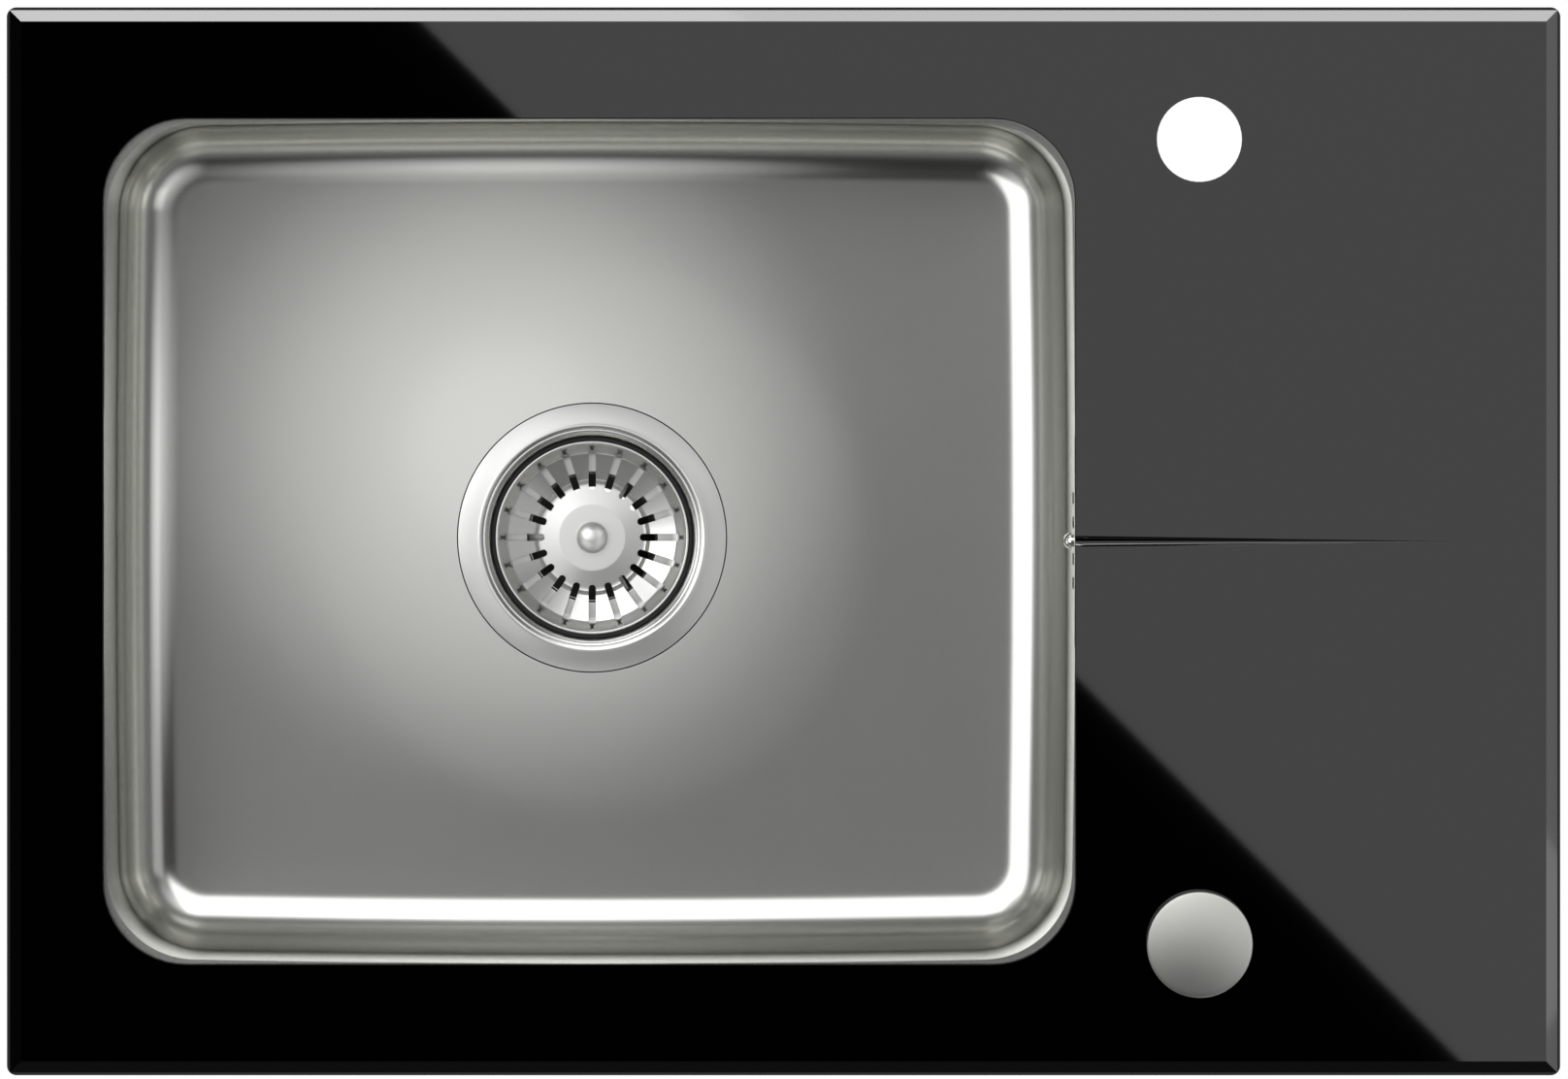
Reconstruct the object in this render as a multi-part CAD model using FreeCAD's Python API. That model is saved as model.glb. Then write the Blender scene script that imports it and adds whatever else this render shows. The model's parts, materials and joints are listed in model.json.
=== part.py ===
"""Inset kitchen sink: a bevelled glass deck with a pressed steel bowl bonded under it, an overflow,
a pop-up basket waste worked from a turning knob, and six clips that hold it in the worktop.

Millimetres, +Z up. The origin is the middle of the deck, on the plane of the worktop's top face.
"""

import FreeCAD, Part
import math
import os

from FreeCAD import Vector

UP = Vector(0, 0, 1)

# Glass deck
CUT_LENGTH = 400.0
CUT_WIDTH = 348.0
CUT_CORNER = 34.0
LEFT_BORDER = 40.0
RIGHT_BOARD = 200.0
SIDE_BORDER = 46.0
GLASS_THICK = 6.0
GLASS_CORNER = 4.0
BEVEL_WIDTH = 4.6
BEVEL_DROP = 2.0
ARRIS = 1.2
CUT_ARRIS = 0.5
HOLE_R = 17.5
HOLE_FROM_CUT = 51.3
HOLE_FROM_EDGE = 54.4
GROOVE_LENGTH = 160.0
GROOVE_WIDTH = 4.8
GROOVE_DEPTH = 1.5

# Seals under the deck
SEAL_THICK = 3.0
SEAL_INSET = 2.0
SEAL_WIDTH = 9.0
BOND_THICK = 1.5
BOND_INSET = 4.0
BOND_WIDTH = 8.0

# Pressed bowl
SHEET = 1.0
END_REVEAL = 0.9
SIDE_REVEAL = 0.2
RIM_FLANGE = 14.0
RIM_EDGE = 0.7
BOWL_DEPTH = 165.0
BOWL_CORNER = 35.0
FLOOR_CORNER = 25.0
WALL_TAPER = 2.0
END_CROWN = 2.0
SIDE_CROWN = 2.4
FLOOR_BORDER = 24.0
DISH_DROP = 1.0
DISH_SAG = 0.44
RECESS_DEPTH = 2.6
RECESS_GAP = 0.8
PAD_THICK = 2.5
PAD_BORDER = 14.0

# Overflow in the bowl's right wall
SLOT_WIDTH = 5.0
SLOT_HEIGHT = 26.0
SLOT_PITCH = 10.0
SLOT_FROM_SCREW = 7.5
OVERFLOW_DEPTH = 26.0
OVERFLOW_BORDER = 8.0
OVERFLOW_WALL = 2.5
OVERFLOW_GASKET = 2.0
OVERFLOW_SCREW_R = 2.5
OVERFLOW_HEAD_R = 3.45
OVERFLOW_HEAD = 3.3
PIPE_BORE = 9.0
PIPE_WALL = 2.0
PIPE_BEND = 40.0
SPIGOT_LENGTH = 14.0

# Waste cup in the bowl's floor
FLANGE_R = 55.7
FLANGE_CREST_R = 46.4
FLANGE_RISE = 1.4
FLANGE_EDGE = 1.0
FLANGE_GASKET = 1.0
CUP_R = 42.6
CUP_SHEET = 1.2
CUP_DEPTH = 26.0
CUP_CORNER = 6.0
CUP_OUTLET_R = 26.4
CUP_COLLAR = 15.0
HUB_R = 9.0
HUB_THICK = 3.0
SPIDER_ARM = 5.0
DRAIN_HOLE_GAP = 1.6

# Strainer basket
BASKET_R = 40.2
BASKET_SHEET = 1.0
BASKET_BELOW = 3.0
BASKET_SKIRT = 4.5
BASKET_WALL = 6.0
LIP_HEIGHT = 1.0
CONE_OUT_R = 35.2
CONE_IN_R = 24.0
CONE_RISE = 3.8
CHANNEL_R = 22.4
CHANNEL_RISE = 1.6
DOME_BASE_R = 21.2
DOME_TOP_R = 13.9
DOME_RISE = 1.4
SLOT_COUNT = 20
BASKET_SLOT = 3.0
BASKET_SLOT_IN = 19.8
BASKET_SLOT_OUT = 36.8
BALL_R = 6.5
BALL_NECK_R = 2.8
BALL_NECK = 1.2
BASKET_SEAL_GAP = 0.3

# Waste body under the bowl
LOWER_GASKET = 3.0
BODY_GAP = 2.1
BODY_WALL = 3.0
BODY_RIM = 3.5
BODY_RIM_THICK = 4.0
BODY_CONE = 20.0
OUTLET_R = 23.9
OUTLET_WALL = 3.4
OUTLET_LENGTH = 22.0
BODY_HUB_DROP = 4.0
BODY_HUB_THICK = 8.0
BOLT_R = 5.0
BOLT_HEAD_R = 8.0
BOLT_HEAD = 3.5
BOLT_TAIL = 1.0
STUB_LENGTH = 22.0

# Pop-up lift
LIFT = 12.0
LEVER_ANGLE = 36.0
PIN_R = 3.0
PIN_HEAD_R = 5.5
PIN_HEAD = 2.0
PIN_TIP = 1.5
PAD_R = 3.0
PAD_WIDTH = 8.0
LEVER_THICK = 4.0
SHAFT_R = 4.0
BOSS_R = 8.0
BOSS_LENGTH = 18.0
SEAL_RING = 2.4
SEAL_DEPTH = 3.0
CRANK_LENGTH = 25.0
CRANK_THICK = 5.0
CRANK_HUB_R = 7.0
CRANK_EYE_R = 2.0
CASE_WALL = 2.0
CASE_ROOM = 4.0
GLAND_R = 5.0
GLAND_BORE = 2.0
GLAND_LENGTH = 12.0
COVER_SCREW_R = 1.5
COVER_HEAD_R = 2.8
COVER_HEAD = 1.8

# Control knob and its drum
KNOB_R = 21.8
KNOB_HEIGHT = 24.0
KNOB_DOME = 0.8
KNOB_EDGE = 0.5
KNOB_WALL = 2.0
KNOB_HUB_R = 10.0
KNOB_LIFT = 0.5
KNOB_GASKET = 1.0
KNOB_WASHER = 3.0
SLEEVE_FLANGE_R = 21.2
SLEEVE_FLANGE = 3.0
SLEEVE_GAP = 0.5
SLEEVE_DROP = 20.0
SLEEVE_NECK_R = 13.0
SLEEVE_NECK = 6.0
NUT_R = 26.0
NUT_THICK = 9.0
NUT_FLATS = 8
SPINDLE_R = 6.0
SPINDLE_TIP_R = 4.0
SPINDLE_GRIP = 16.0
GRUB_R = 2.0
DRUM_R = 10.0
DRUM_FLANGE_R = 14.0
DRUM_FLANGE = 2.0
DRUM_GROOVE = 6.0
DRUM_ROOM = 2.0
LID_THICK = 3.0

# Worktop clips
CLIP_FROM_CUT = 55.0
CLIP_SEAL_GAP = 2.0
CLIP_WIDTH = 12.0
CLIP_LENGTH = 30.0
CLIP_SHEET = 1.5
CLIP_DROP = 32.0
CLIP_TRAVEL = 24.0
CLIP_SCREW_R = 2.5
CLIP_HEAD_R = 5.0
CLIP_HEAD = 3.5
CLIP_DRIVE = 1.5
CLIP_COLLAR_R = 4.2
CLIP_COLLAR = 1.5
CLAW_REACH = 26.0
CLAW_WIDTH = 15.0
CLAW_THICK = 2.0
CLAW_LIP = 9.0
CLAW_TEETH = 3
CLAW_TOOTH = 2.5

# Clearances
RUNNING = 0.08
THREAD = 0.05
LOOSE = 0.3

# Places worked out from the sizes above
GLASS_LENGTH = LEFT_BORDER + CUT_LENGTH + RIGHT_BOARD
GLASS_WIDTH = CUT_WIDTH + 2 * SIDE_BORDER
BOWL_X = -GLASS_LENGTH / 2 + LEFT_BORDER + CUT_LENGTH / 2
CUT_RIGHT = BOWL_X + CUT_LENGTH / 2
HOLE_X = CUT_RIGHT + HOLE_FROM_CUT
HOLE_Y = GLASS_WIDTH / 2 - HOLE_FROM_EDGE
GLASS_LOW = SEAL_THICK
GLASS_TOP = GLASS_LOW + GLASS_THICK
RIM_Z = GLASS_LOW - BOND_THICK
BOWL_LENGTH = CUT_LENGTH - 2 * END_REVEAL
BOWL_WIDTH = CUT_WIDTH - 2 * SIDE_REVEAL
FLOOR_Z = RIM_Z - BOWL_DEPTH
DISH_R = BOWL_WIDTH / 2 - WALL_TAPER - SIDE_CROWN - FLOOR_CORNER - FLOOR_BORDER
SEAT_Z = FLOOR_Z - DISH_DROP
RECESS_R = FLANGE_R + RECESS_GAP
RECESS_Z = SEAT_Z - RECESS_DEPTH
CUP_OUT = CUP_R + CUP_SHEET
DRAIN_R = CUP_OUT + DRAIN_HOLE_GAP
FLANGE_Z = RECESS_Z + FLANGE_GASKET
LIP_Z = SEAT_Z - BASKET_BELOW
CONE_Z = LIP_Z - BASKET_WALL - CONE_RISE
CHANNEL_Z = CONE_Z - CHANNEL_RISE
DOME_Z = CHANNEL_Z + DOME_RISE
STEP_Z = LIP_Z - BASKET_SKIRT - LOOSE
CUP_FLOOR_Z = SEAT_Z - CUP_DEPTH
HUB_Z = CUP_FLOOR_Z - CUP_COLLAR
BODY_TOP = RECESS_Z - SHEET - LOWER_GASKET
BODY_BORE = CUP_OUT + BODY_GAP
BODY_R = BODY_BORE + BODY_WALL
BODY_HUB_Z = HUB_Z - BODY_HUB_DROP
BOLT_LOW = BODY_HUB_Z - BODY_HUB_THICK - BOLT_TAIL
PIN_TOP = DOME_Z - BASKET_SHEET
PIN_LOW = BOLT_LOW - LIFT - 2 * LOOSE
HALF_ANGLE = LEVER_ANGLE / 2
LEVER_ARM = LIFT / 2 / math.sin(math.radians(HALF_ANGLE))
SHAFT_X = BOWL_X + LEVER_ARM * (1 + math.cos(math.radians(HALF_ANGLE))) / 2
SHAFT_Z = PIN_LOW - LOOSE - PAD_R + LIFT / 2
BODY_LOW = SHAFT_Z - LIFT / 2 - PAD_R - LOOSE
OUTLET_TOP = BODY_LOW - BODY_CONE
OUTLET_LOW = OUTLET_TOP - OUTLET_LENGTH
BOSS_Y = -BODY_BORE - BOSS_LENGTH + BODY_WALL
WALL_SLOPE = WALL_TAPER / BOWL_DEPTH
OVERFLOW_Z = RIM_Z - OVERFLOW_DEPTH
OVERFLOW_X = BOWL_X + BOWL_LENGTH / 2 - WALL_SLOPE * OVERFLOW_DEPTH
OVERFLOW_HALF = SLOT_FROM_SCREW + SLOT_PITCH + SLOT_WIDTH / 2 + OVERFLOW_BORDER
OVERFLOW_LOW = OVERFLOW_Z - SLOT_HEIGHT / 2 - OVERFLOW_BORDER
OVERFLOW_HIGH = OVERFLOW_Z + SLOT_HEIGHT / 2 + OVERFLOW_BORDER
PIPE_R = PIPE_BORE + PIPE_WALL
SOCKET_R = PIPE_R + THREAD + PIPE_WALL
PIPE_X = OVERFLOW_X + SHEET + OVERFLOW_GASKET + OVERFLOW_WALL + SOCKET_R
STUB_Z = (BODY_TOP - BODY_RIM_THICK + SHAFT_Z) / 2
KNOB_Y = -HOLE_Y
FLANGE_TOP = GLASS_TOP + KNOB_GASKET + SLEEVE_FLANGE
KNOB_LOW = FLANGE_TOP + KNOB_LIFT
SLEEVE_R = HOLE_R - SLEEVE_GAP
NUT_TOP = GLASS_LOW - KNOB_WASHER
SLEEVE_LOW = GLASS_LOW - SLEEVE_DROP
DRUM_HIGH = SLEEVE_LOW - SLEEVE_NECK - DRUM_ROOM
DRUM_LOW = DRUM_HIGH - DRUM_GROOVE - 2 * DRUM_FLANGE
LID_TOP = DRUM_LOW - DRUM_ROOM
CASE_R = DRUM_FLANGE_R + DRUM_ROOM
SEAL_OUT_X = GLASS_LENGTH / 2 - SEAL_INSET
SEAL_OUT_Y = GLASS_WIDTH / 2 - SEAL_INSET
CLIP_SPREAD = CUT_LENGTH / 2 - CLIP_FROM_CUT
CLIP_X = SEAL_OUT_X - SEAL_WIDTH - CLIP_SEAL_GAP
CLIP_Y = SEAL_OUT_Y - SEAL_WIDTH - CLIP_SEAL_GAP


def save(name, shape):
    """Write one sub-part."""
    shape.exportStep("parts/" + name + ".step")


def disc(radius, low, high, x=0.0, y=0.0):
    """Upright cylinder between two heights."""
    return Part.makeCylinder(radius, high - low, Vector(x, y, low))


def ring(inner, outer, low, high, x=0.0, y=0.0):
    """Upright ring of rectangular section."""
    return disc(outer, low, high, x, y).cut(disc(inner, low, high, x, y))


def rod(radius, start, end):
    """Round bar between two points."""
    return Part.makeCylinder(radius, (end - start).Length, start, end - start)


def bar(x_low, x_high, y_low, y_high, z_low, z_high):
    """Square-edged bar between its limits."""
    corner = Vector(x_low, y_low, z_low)
    return Part.makeBox(x_high - x_low, y_high - y_low, z_high - z_low, corner)


def slab(length, width, low, high, corner, x=0.0, y=0.0):
    """Plate with rounded corners, centred on a point."""
    box = bar(x - length / 2, x + length / 2, y - width / 2, y + width / 2, low, high)
    uprights = [e for e in box.Edges if e.BoundBox.ZLength > (high - low) / 2]
    return box.makeFillet(corner, uprights)


def outline(points):
    """Closed wire in the XZ plane. A pair of points is an arc through the first to the second."""
    spots = [p if isinstance(p[0], tuple) else (p,) for p in points]
    edges = []
    for before, spot in zip(spots[-1:] + spots[:-1], spots):
        start, *way = [Vector(r, 0, z) for r, z in (before[-1], *spot)]
        edge = Part.Arc(start, *way) if len(way) == 2 else Part.LineSegment(start, *way)
        edges.append(edge.toShape())
    return Part.Wire(edges)


def dome(radius, low, rise):
    """Arc from the edge of a dome to its top on the axis."""
    ball = (radius**2 + rise**2) / (2 * rise)
    middle = radius / 2
    return (middle, low + rise - ball + math.sqrt(ball**2 - middle**2)), (0, low + rise)


def beside(points, sheet):
    """Line beside a profile's line, at a sheet's thickness under it or outside it."""
    sides = []
    for (r, z), (r_next, z_next) in zip(points, points[1:]):
        size = math.hypot(r_next - r, z_next - z)
        sides.append(((z_next - z) / size, (r - r_next) / size))
    made = []
    for (r, z), before, after in zip(points, sides[:1] + sides, sides + sides[-1:]):
        share = sheet / (1 + before[0] * after[0] + before[1] * after[1])
        made.append((r + share * (before[0] + after[0]), z + share * (before[1] + after[1])))
    return made


def turned(points, x=0.0, y=0.0):
    """Solid of revolution of a (radius, height) outline about the upright line through a point."""
    solid = Part.Face(outline(points)).revolve(Vector(0, 0, 0), UP, 360)
    return solid.translated(Vector(x, y, 0))


def crowned(half_length, half_width, z):
    """Four-sided outline whose sides swell to their half sizes at the middle."""
    end = half_length - END_CROWN
    side = half_width - SIDE_CROWN
    corners = [(end, side), (-end, side), (-end, -side), (end, -side)]
    middles = [(0, half_width), (-half_length, 0), (0, -half_width), (half_length, 0)]
    edges = []
    for i, middle in enumerate(middles):
        spots = (corners[i], middle, corners[(i + 1) % 4])
        edges.append(Part.Arc(*[Vector(BOWL_X + u, v, z) for u, v in spots]).toShape())
    return Part.Wire(edges)


def bowl_form(grow):
    """Tapered bowl with rounded corners and floor edge, grown outwards by a thickness."""
    low = FLOOR_Z - grow
    top = crowned(BOWL_LENGTH / 2 + grow, BOWL_WIDTH / 2 + grow, RIM_Z)
    inset = WALL_TAPER - grow
    bottom = crowned(BOWL_LENGTH / 2 - inset, BOWL_WIDTH / 2 - inset, low)
    form = Part.makeLoft([top, bottom], True, True)
    corners = [e for e in form.Edges if e.BoundBox.ZLength > BOWL_DEPTH / 2]
    form = form.makeFillet(BOWL_CORNER + grow, corners)
    base = [e for e in form.Edges if e.BoundBox.ZMax < low + SHEET / 2]
    return form.makeFillet(FLOOR_CORNER + grow, base)


def dish_form(grow):
    """Shallow fall of the floor to the drain and the recess for the waste, grown by a thickness."""
    recess = RECESS_R + grow
    low = RECESS_Z - grow
    above = FLOOR_Z + SHEET
    sag = ((DISH_R + RECESS_R) / 2, FLOOR_Z - DISH_SAG * DISH_DROP - grow)
    fall = [(DISH_R, FLOOR_Z - grow), (sag, (recess, SEAT_Z - grow)), (recess, low), (0, low)]
    return turned([(0, above), (DISH_R, above), *fall], BOWL_X)


def stadium(length, width, height):
    """Round-ended bar along X, centred on the origin in plan, standing on the XY plane."""
    half = (length - width) / 2
    straight = bar(-half, half, -width / 2, width / 2, 0, height)
    return straight.fuse([disc(width / 2, 0, height, s * half) for s in (-1, 1)]).removeSplitter()


# Glass deck and its seals


def glass_top():
    """Bevelled plate with mitred bevels, the bowl's cut-out, two holes and the tapering drain groove."""
    levels = [(0, GLASS_LOW), (0, GLASS_TOP - BEVEL_DROP - ARRIS)]
    levels += [(ARRIS, GLASS_TOP - BEVEL_DROP), (ARRIS + BEVEL_WIDTH, GLASS_TOP)]
    rims = []
    for inset, z in levels:
        x = GLASS_LENGTH / 2 - inset
        y = GLASS_WIDTH / 2 - inset
        spots = [(x, y), (-x, y), (-x, -y), (x, -y), (x, y)]
        rims.append(Part.makePolygon([Vector(u, v, z) for u, v in spots]))
    plate = Part.makeLoft(rims, True, True)
    plate = plate.common(slab(GLASS_LENGTH, GLASS_WIDTH, GLASS_LOW, GLASS_TOP, GLASS_CORNER))
    plate = plate.cut(slab(CUT_LENGTH, CUT_WIDTH, GLASS_LOW, GLASS_TOP, CUT_CORNER, BOWL_X))
    for y in (HOLE_Y, KNOB_Y):
        plate = plate.cut(disc(HOLE_R, GLASS_LOW, GLASS_TOP, HOLE_X, y))
    rim = [e for e in plate.Edges if on_cut_rim(e)]
    return plate.makeChamfer(CUT_ARRIS, rim).cut(drain_groove())


def on_cut_rim(edge):
    """True for the top edges of the bowl's cut-out."""
    box = edge.BoundBox
    inside = abs(box.Center.x - BOWL_X) < CUT_LENGTH / 2 + SHEET
    inside = inside and abs(box.Center.y) < CUT_WIDTH / 2 + SHEET
    return inside and box.ZMin > GLASS_TOP - SHEET / 2


def drain_groove():
    """Cone lying along the top face, so that the groove narrows and runs out towards its far end."""
    half = GROOVE_WIDTH / 2
    above = (half**2 / GROOVE_DEPTH - GROOVE_DEPTH) / 2
    base = Vector(CUT_RIGHT - SHEET, 0, GLASS_TOP + above)
    tip = Vector(CUT_RIGHT + GROOVE_LENGTH, 0, GLASS_TOP)
    return Part.makeCone(above + GROOVE_DEPTH, 0, (tip - base).Length, base, tip - base)


def frame_strip(length, width, strip, low, high, outer_corner, inner_corner, x=0.0):
    """Flat frame of even width."""
    outer = slab(length, width, low, high, outer_corner, x)
    return outer.cut(slab(length - 2 * strip, width - 2 * strip, low, high, inner_corner, x))


def deck_seal():
    """Foam tape between the glass and the worktop."""
    inner = GLASS_CORNER / 2
    return frame_strip(2 * SEAL_OUT_X, 2 * SEAL_OUT_Y, SEAL_WIDTH, 0, GLASS_LOW, GLASS_CORNER, inner)


def bond_seal():
    """Adhesive bead between the glass and the bowl's flange."""
    reach = 2 * (BOND_INSET + BOND_WIDTH)
    outer = CUT_CORNER + BOND_INSET + BOND_WIDTH
    sizes = (CUT_LENGTH + reach, CUT_WIDTH + reach, BOND_WIDTH)
    return frame_strip(*sizes, RIM_Z, GLASS_LOW, outer, outer - BOND_WIDTH, BOWL_X)


# Pressed bowl


def overflow_slots(x_low, x_high):
    """Four upright slots through the bowl's right wall."""
    slot = stadium(SLOT_HEIGHT, SLOT_WIDTH, x_high - x_low)
    slot.rotate(Vector(0, 0, 0), Vector(0, 1, 0), 90)
    places = [s * (SLOT_FROM_SCREW + i * SLOT_PITCH) for s in (-1, 1) for i in (0, 1)]
    return [slot.translated(Vector(x_low, y, OVERFLOW_Z)) for y in places]


def overflow_bore(radius):
    """Bore of the overflow's screw, right through."""
    start = Vector(OVERFLOW_X - PIPE_R, 0, OVERFLOW_Z)
    return rod(radius, start, start + Vector(2 * PIPE_R, 0, 0))


def bowl(outer):
    """Pressed shell: flange, drafted walls, dished floor, drain seat and overflow slots."""
    length = CUT_LENGTH + 2 * RIM_FLANGE
    width = CUT_WIDTH + 2 * RIM_FLANGE
    flange = slab(length, width, RIM_Z - SHEET, RIM_Z, CUT_CORNER + RIM_FLANGE, BOWL_X)
    shell = flange.fuse(outer).fuse(dish_form(SHEET))
    shell = shell.cut(bowl_form(0.0)).cut(dish_form(0.0))
    rim = [e for e in shell.Edges if on_bowl_rim(e)]
    shell = shell.makeFillet(RIM_EDGE, rim)
    shell = shell.cut(disc(DRAIN_R, RECESS_Z - 2 * SHEET, RECESS_Z, BOWL_X))
    cuts = overflow_slots(OVERFLOW_X - PIPE_R, OVERFLOW_X + PIPE_R)
    return shell.cut(cuts + [overflow_bore(OVERFLOW_SCREW_R + LOOSE)])


def on_bowl_rim(edge):
    """True for the top edges of the bowl's mouth."""
    box = edge.BoundBox
    inside = abs(box.Center.x - BOWL_X) <= BOWL_LENGTH / 2 and abs(box.Center.y) <= BOWL_WIDTH / 2
    return inside and box.ZMin > RIM_Z - SHEET / 2


def sound_pad(outer):
    """Damping pad that follows the underside of the floor, with a hole for the waste."""
    flat_length = BOWL_LENGTH - 2 * (WALL_TAPER + FLOOR_CORNER + END_CROWN + PAD_BORDER)
    flat_width = BOWL_WIDTH - 2 * (WALL_TAPER + FLOOR_CORNER + SIDE_CROWN + PAD_BORDER)
    under = outer.fuse(dish_form(SHEET))
    low = FLOOR_Z - DISH_DROP - SHEET - PAD_THICK
    pad = slab(flat_length, flat_width, low, FLOOR_Z, PAD_BORDER, BOWL_X)
    pad = pad.common(under.translated(Vector(0, 0, -PAD_THICK))).cut(under)
    return pad.cut(disc(RECESS_R + PAD_BORDER, low, FLOOR_Z, BOWL_X))


# Overflow


def overflow_block(x_high, border):
    """Round-cornered block against the bowl's right wall, in from the overflow's edge by a border."""
    x_low = OVERFLOW_X - PIPE_R
    width = 2 * (OVERFLOW_HALF - border)
    height = OVERFLOW_HIGH - OVERFLOW_LOW - 2 * border
    block = slab(height, width, 0, x_high - x_low, OVERFLOW_BORDER - border)
    block.rotate(Vector(0, 0, 0), Vector(0, 1, 0), 90)
    return block.translated(Vector(x_low, 0, OVERFLOW_Z))


def overflow_gasket(outer):
    """Rubber frame that follows the wall's outer face."""
    far = OVERFLOW_X + SHEET + PIPE_R
    frame = overflow_block(far, 0).cut(overflow_block(far, OVERFLOW_BORDER / 2))
    frame = frame.common(outer.translated(Vector(OVERFLOW_GASKET, 0, 0)))
    return frame.cut(outer)


def overflow_housing(outer):
    """Moulded box behind the slots, with a screw boss and a spigot for the pipe."""
    back = PIPE_X + PIPE_R + OVERFLOW_WALL
    against = outer.translated(Vector(OVERFLOW_GASKET, 0, 0))
    spigot = disc(PIPE_R, OVERFLOW_LOW - SPIGOT_LENGTH, OVERFLOW_LOW + OVERFLOW_WALL, PIPE_X)
    box = overflow_block(back, 0).fuse(spigot)
    room = overflow_block(back - OVERFLOW_WALL, OVERFLOW_WALL)
    room = room.cut(overflow_bore(OVERFLOW_SCREW_R + OVERFLOW_WALL))
    box = box.cut([room, disc(PIPE_BORE, OVERFLOW_LOW - SPIGOT_LENGTH, OVERFLOW_Z, PIPE_X)])
    box = box.fuse(overflow_boss(back)).cut(overflow_bore(OVERFLOW_SCREW_R + THREAD))
    return box.cut(against).removeSplitter()


def overflow_boss(back):
    """Pillar that takes the overflow's screw."""
    start = Vector(OVERFLOW_X - PIPE_R, 0, OVERFLOW_Z)
    return rod(OVERFLOW_SCREW_R + OVERFLOW_WALL, start, Vector(back - OVERFLOW_WALL, 0, OVERFLOW_Z))


def overflow_screw():
    """Domed screw from inside the bowl into the housing's pillar."""
    seat = OVERFLOW_X - WALL_SLOPE * OVERFLOW_HEAD_R - THREAD
    head = turned([(0, 0), (OVERFLOW_HEAD_R, 0), dome(OVERFLOW_HEAD_R, 0, OVERFLOW_HEAD)])
    head.rotate(Vector(0, 0, 0), Vector(0, 1, 0), -90)
    head.translate(Vector(seat, 0, OVERFLOW_Z))
    tail = Vector(seat + PIPE_R, 0, OVERFLOW_Z)
    return head.fuse(rod(OVERFLOW_SCREW_R, Vector(seat, 0, OVERFLOW_Z), tail))


def bent_rod(radius, top):
    """Round bar down from the overflow and round one bend to the waste body's stub."""
    start = Vector(PIPE_X, 0, top)
    turn_in = Vector(PIPE_X, 0, STUB_Z + PIPE_BEND)
    turn_out = Vector(PIPE_X - PIPE_BEND, 0, STUB_Z)
    slant = PIPE_BEND * (1 - math.sqrt(0.5))
    middle = Vector(PIPE_X - slant, 0, STUB_Z + slant)
    end = Vector(BOWL_X + BODY_R + STUB_LENGTH - SPIGOT_LENGTH, 0, STUB_Z)
    runs = [Part.LineSegment(start, turn_in), Part.Arc(turn_in, middle, turn_out)]
    runs.append(Part.LineSegment(turn_out, end))
    path = Part.Wire([run.toShape() for run in runs])
    section = Part.Wire(Part.makeCircle(radius, start, UP))
    return path.makePipeShell([section], True, True), end


def overflow_pipe():
    """Moulded pipe from the overflow's spigot to the waste body's stub, with a socket at each end."""
    top = OVERFLOW_LOW
    tube, end = bent_rod(PIPE_R, top)
    socket_end = end + Vector(SPIGOT_LENGTH + PIPE_WALL, 0, 0)
    tube = tube.fuse(disc(SOCKET_R, top - SPIGOT_LENGTH - PIPE_WALL, top, PIPE_X))
    tube = tube.fuse(rod(SOCKET_R, end, socket_end)).cut(bent_rod(PIPE_BORE, top)[0])
    tube = tube.cut(disc(PIPE_R + THREAD, top - SPIGOT_LENGTH, top, PIPE_X))
    return tube.cut(rod(PIPE_R + THREAD, end, end + Vector(SPIGOT_LENGTH, 0, 0)))


# Waste


def spider(hub, low, high, reach):
    """Hub on three arms that reach out to a wall."""
    arms = []
    for i in range(3):
        arm = bar(0, reach, -SPIDER_ARM / 2, SPIDER_ARM / 2, low, high)
        arm.rotate(Vector(0, 0, 0), UP, 60 + 120 * i)
        arms.append(arm)
    return disc(hub, low, high).fuse(arms).translated(Vector(BOWL_X, 0, 0))


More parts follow.
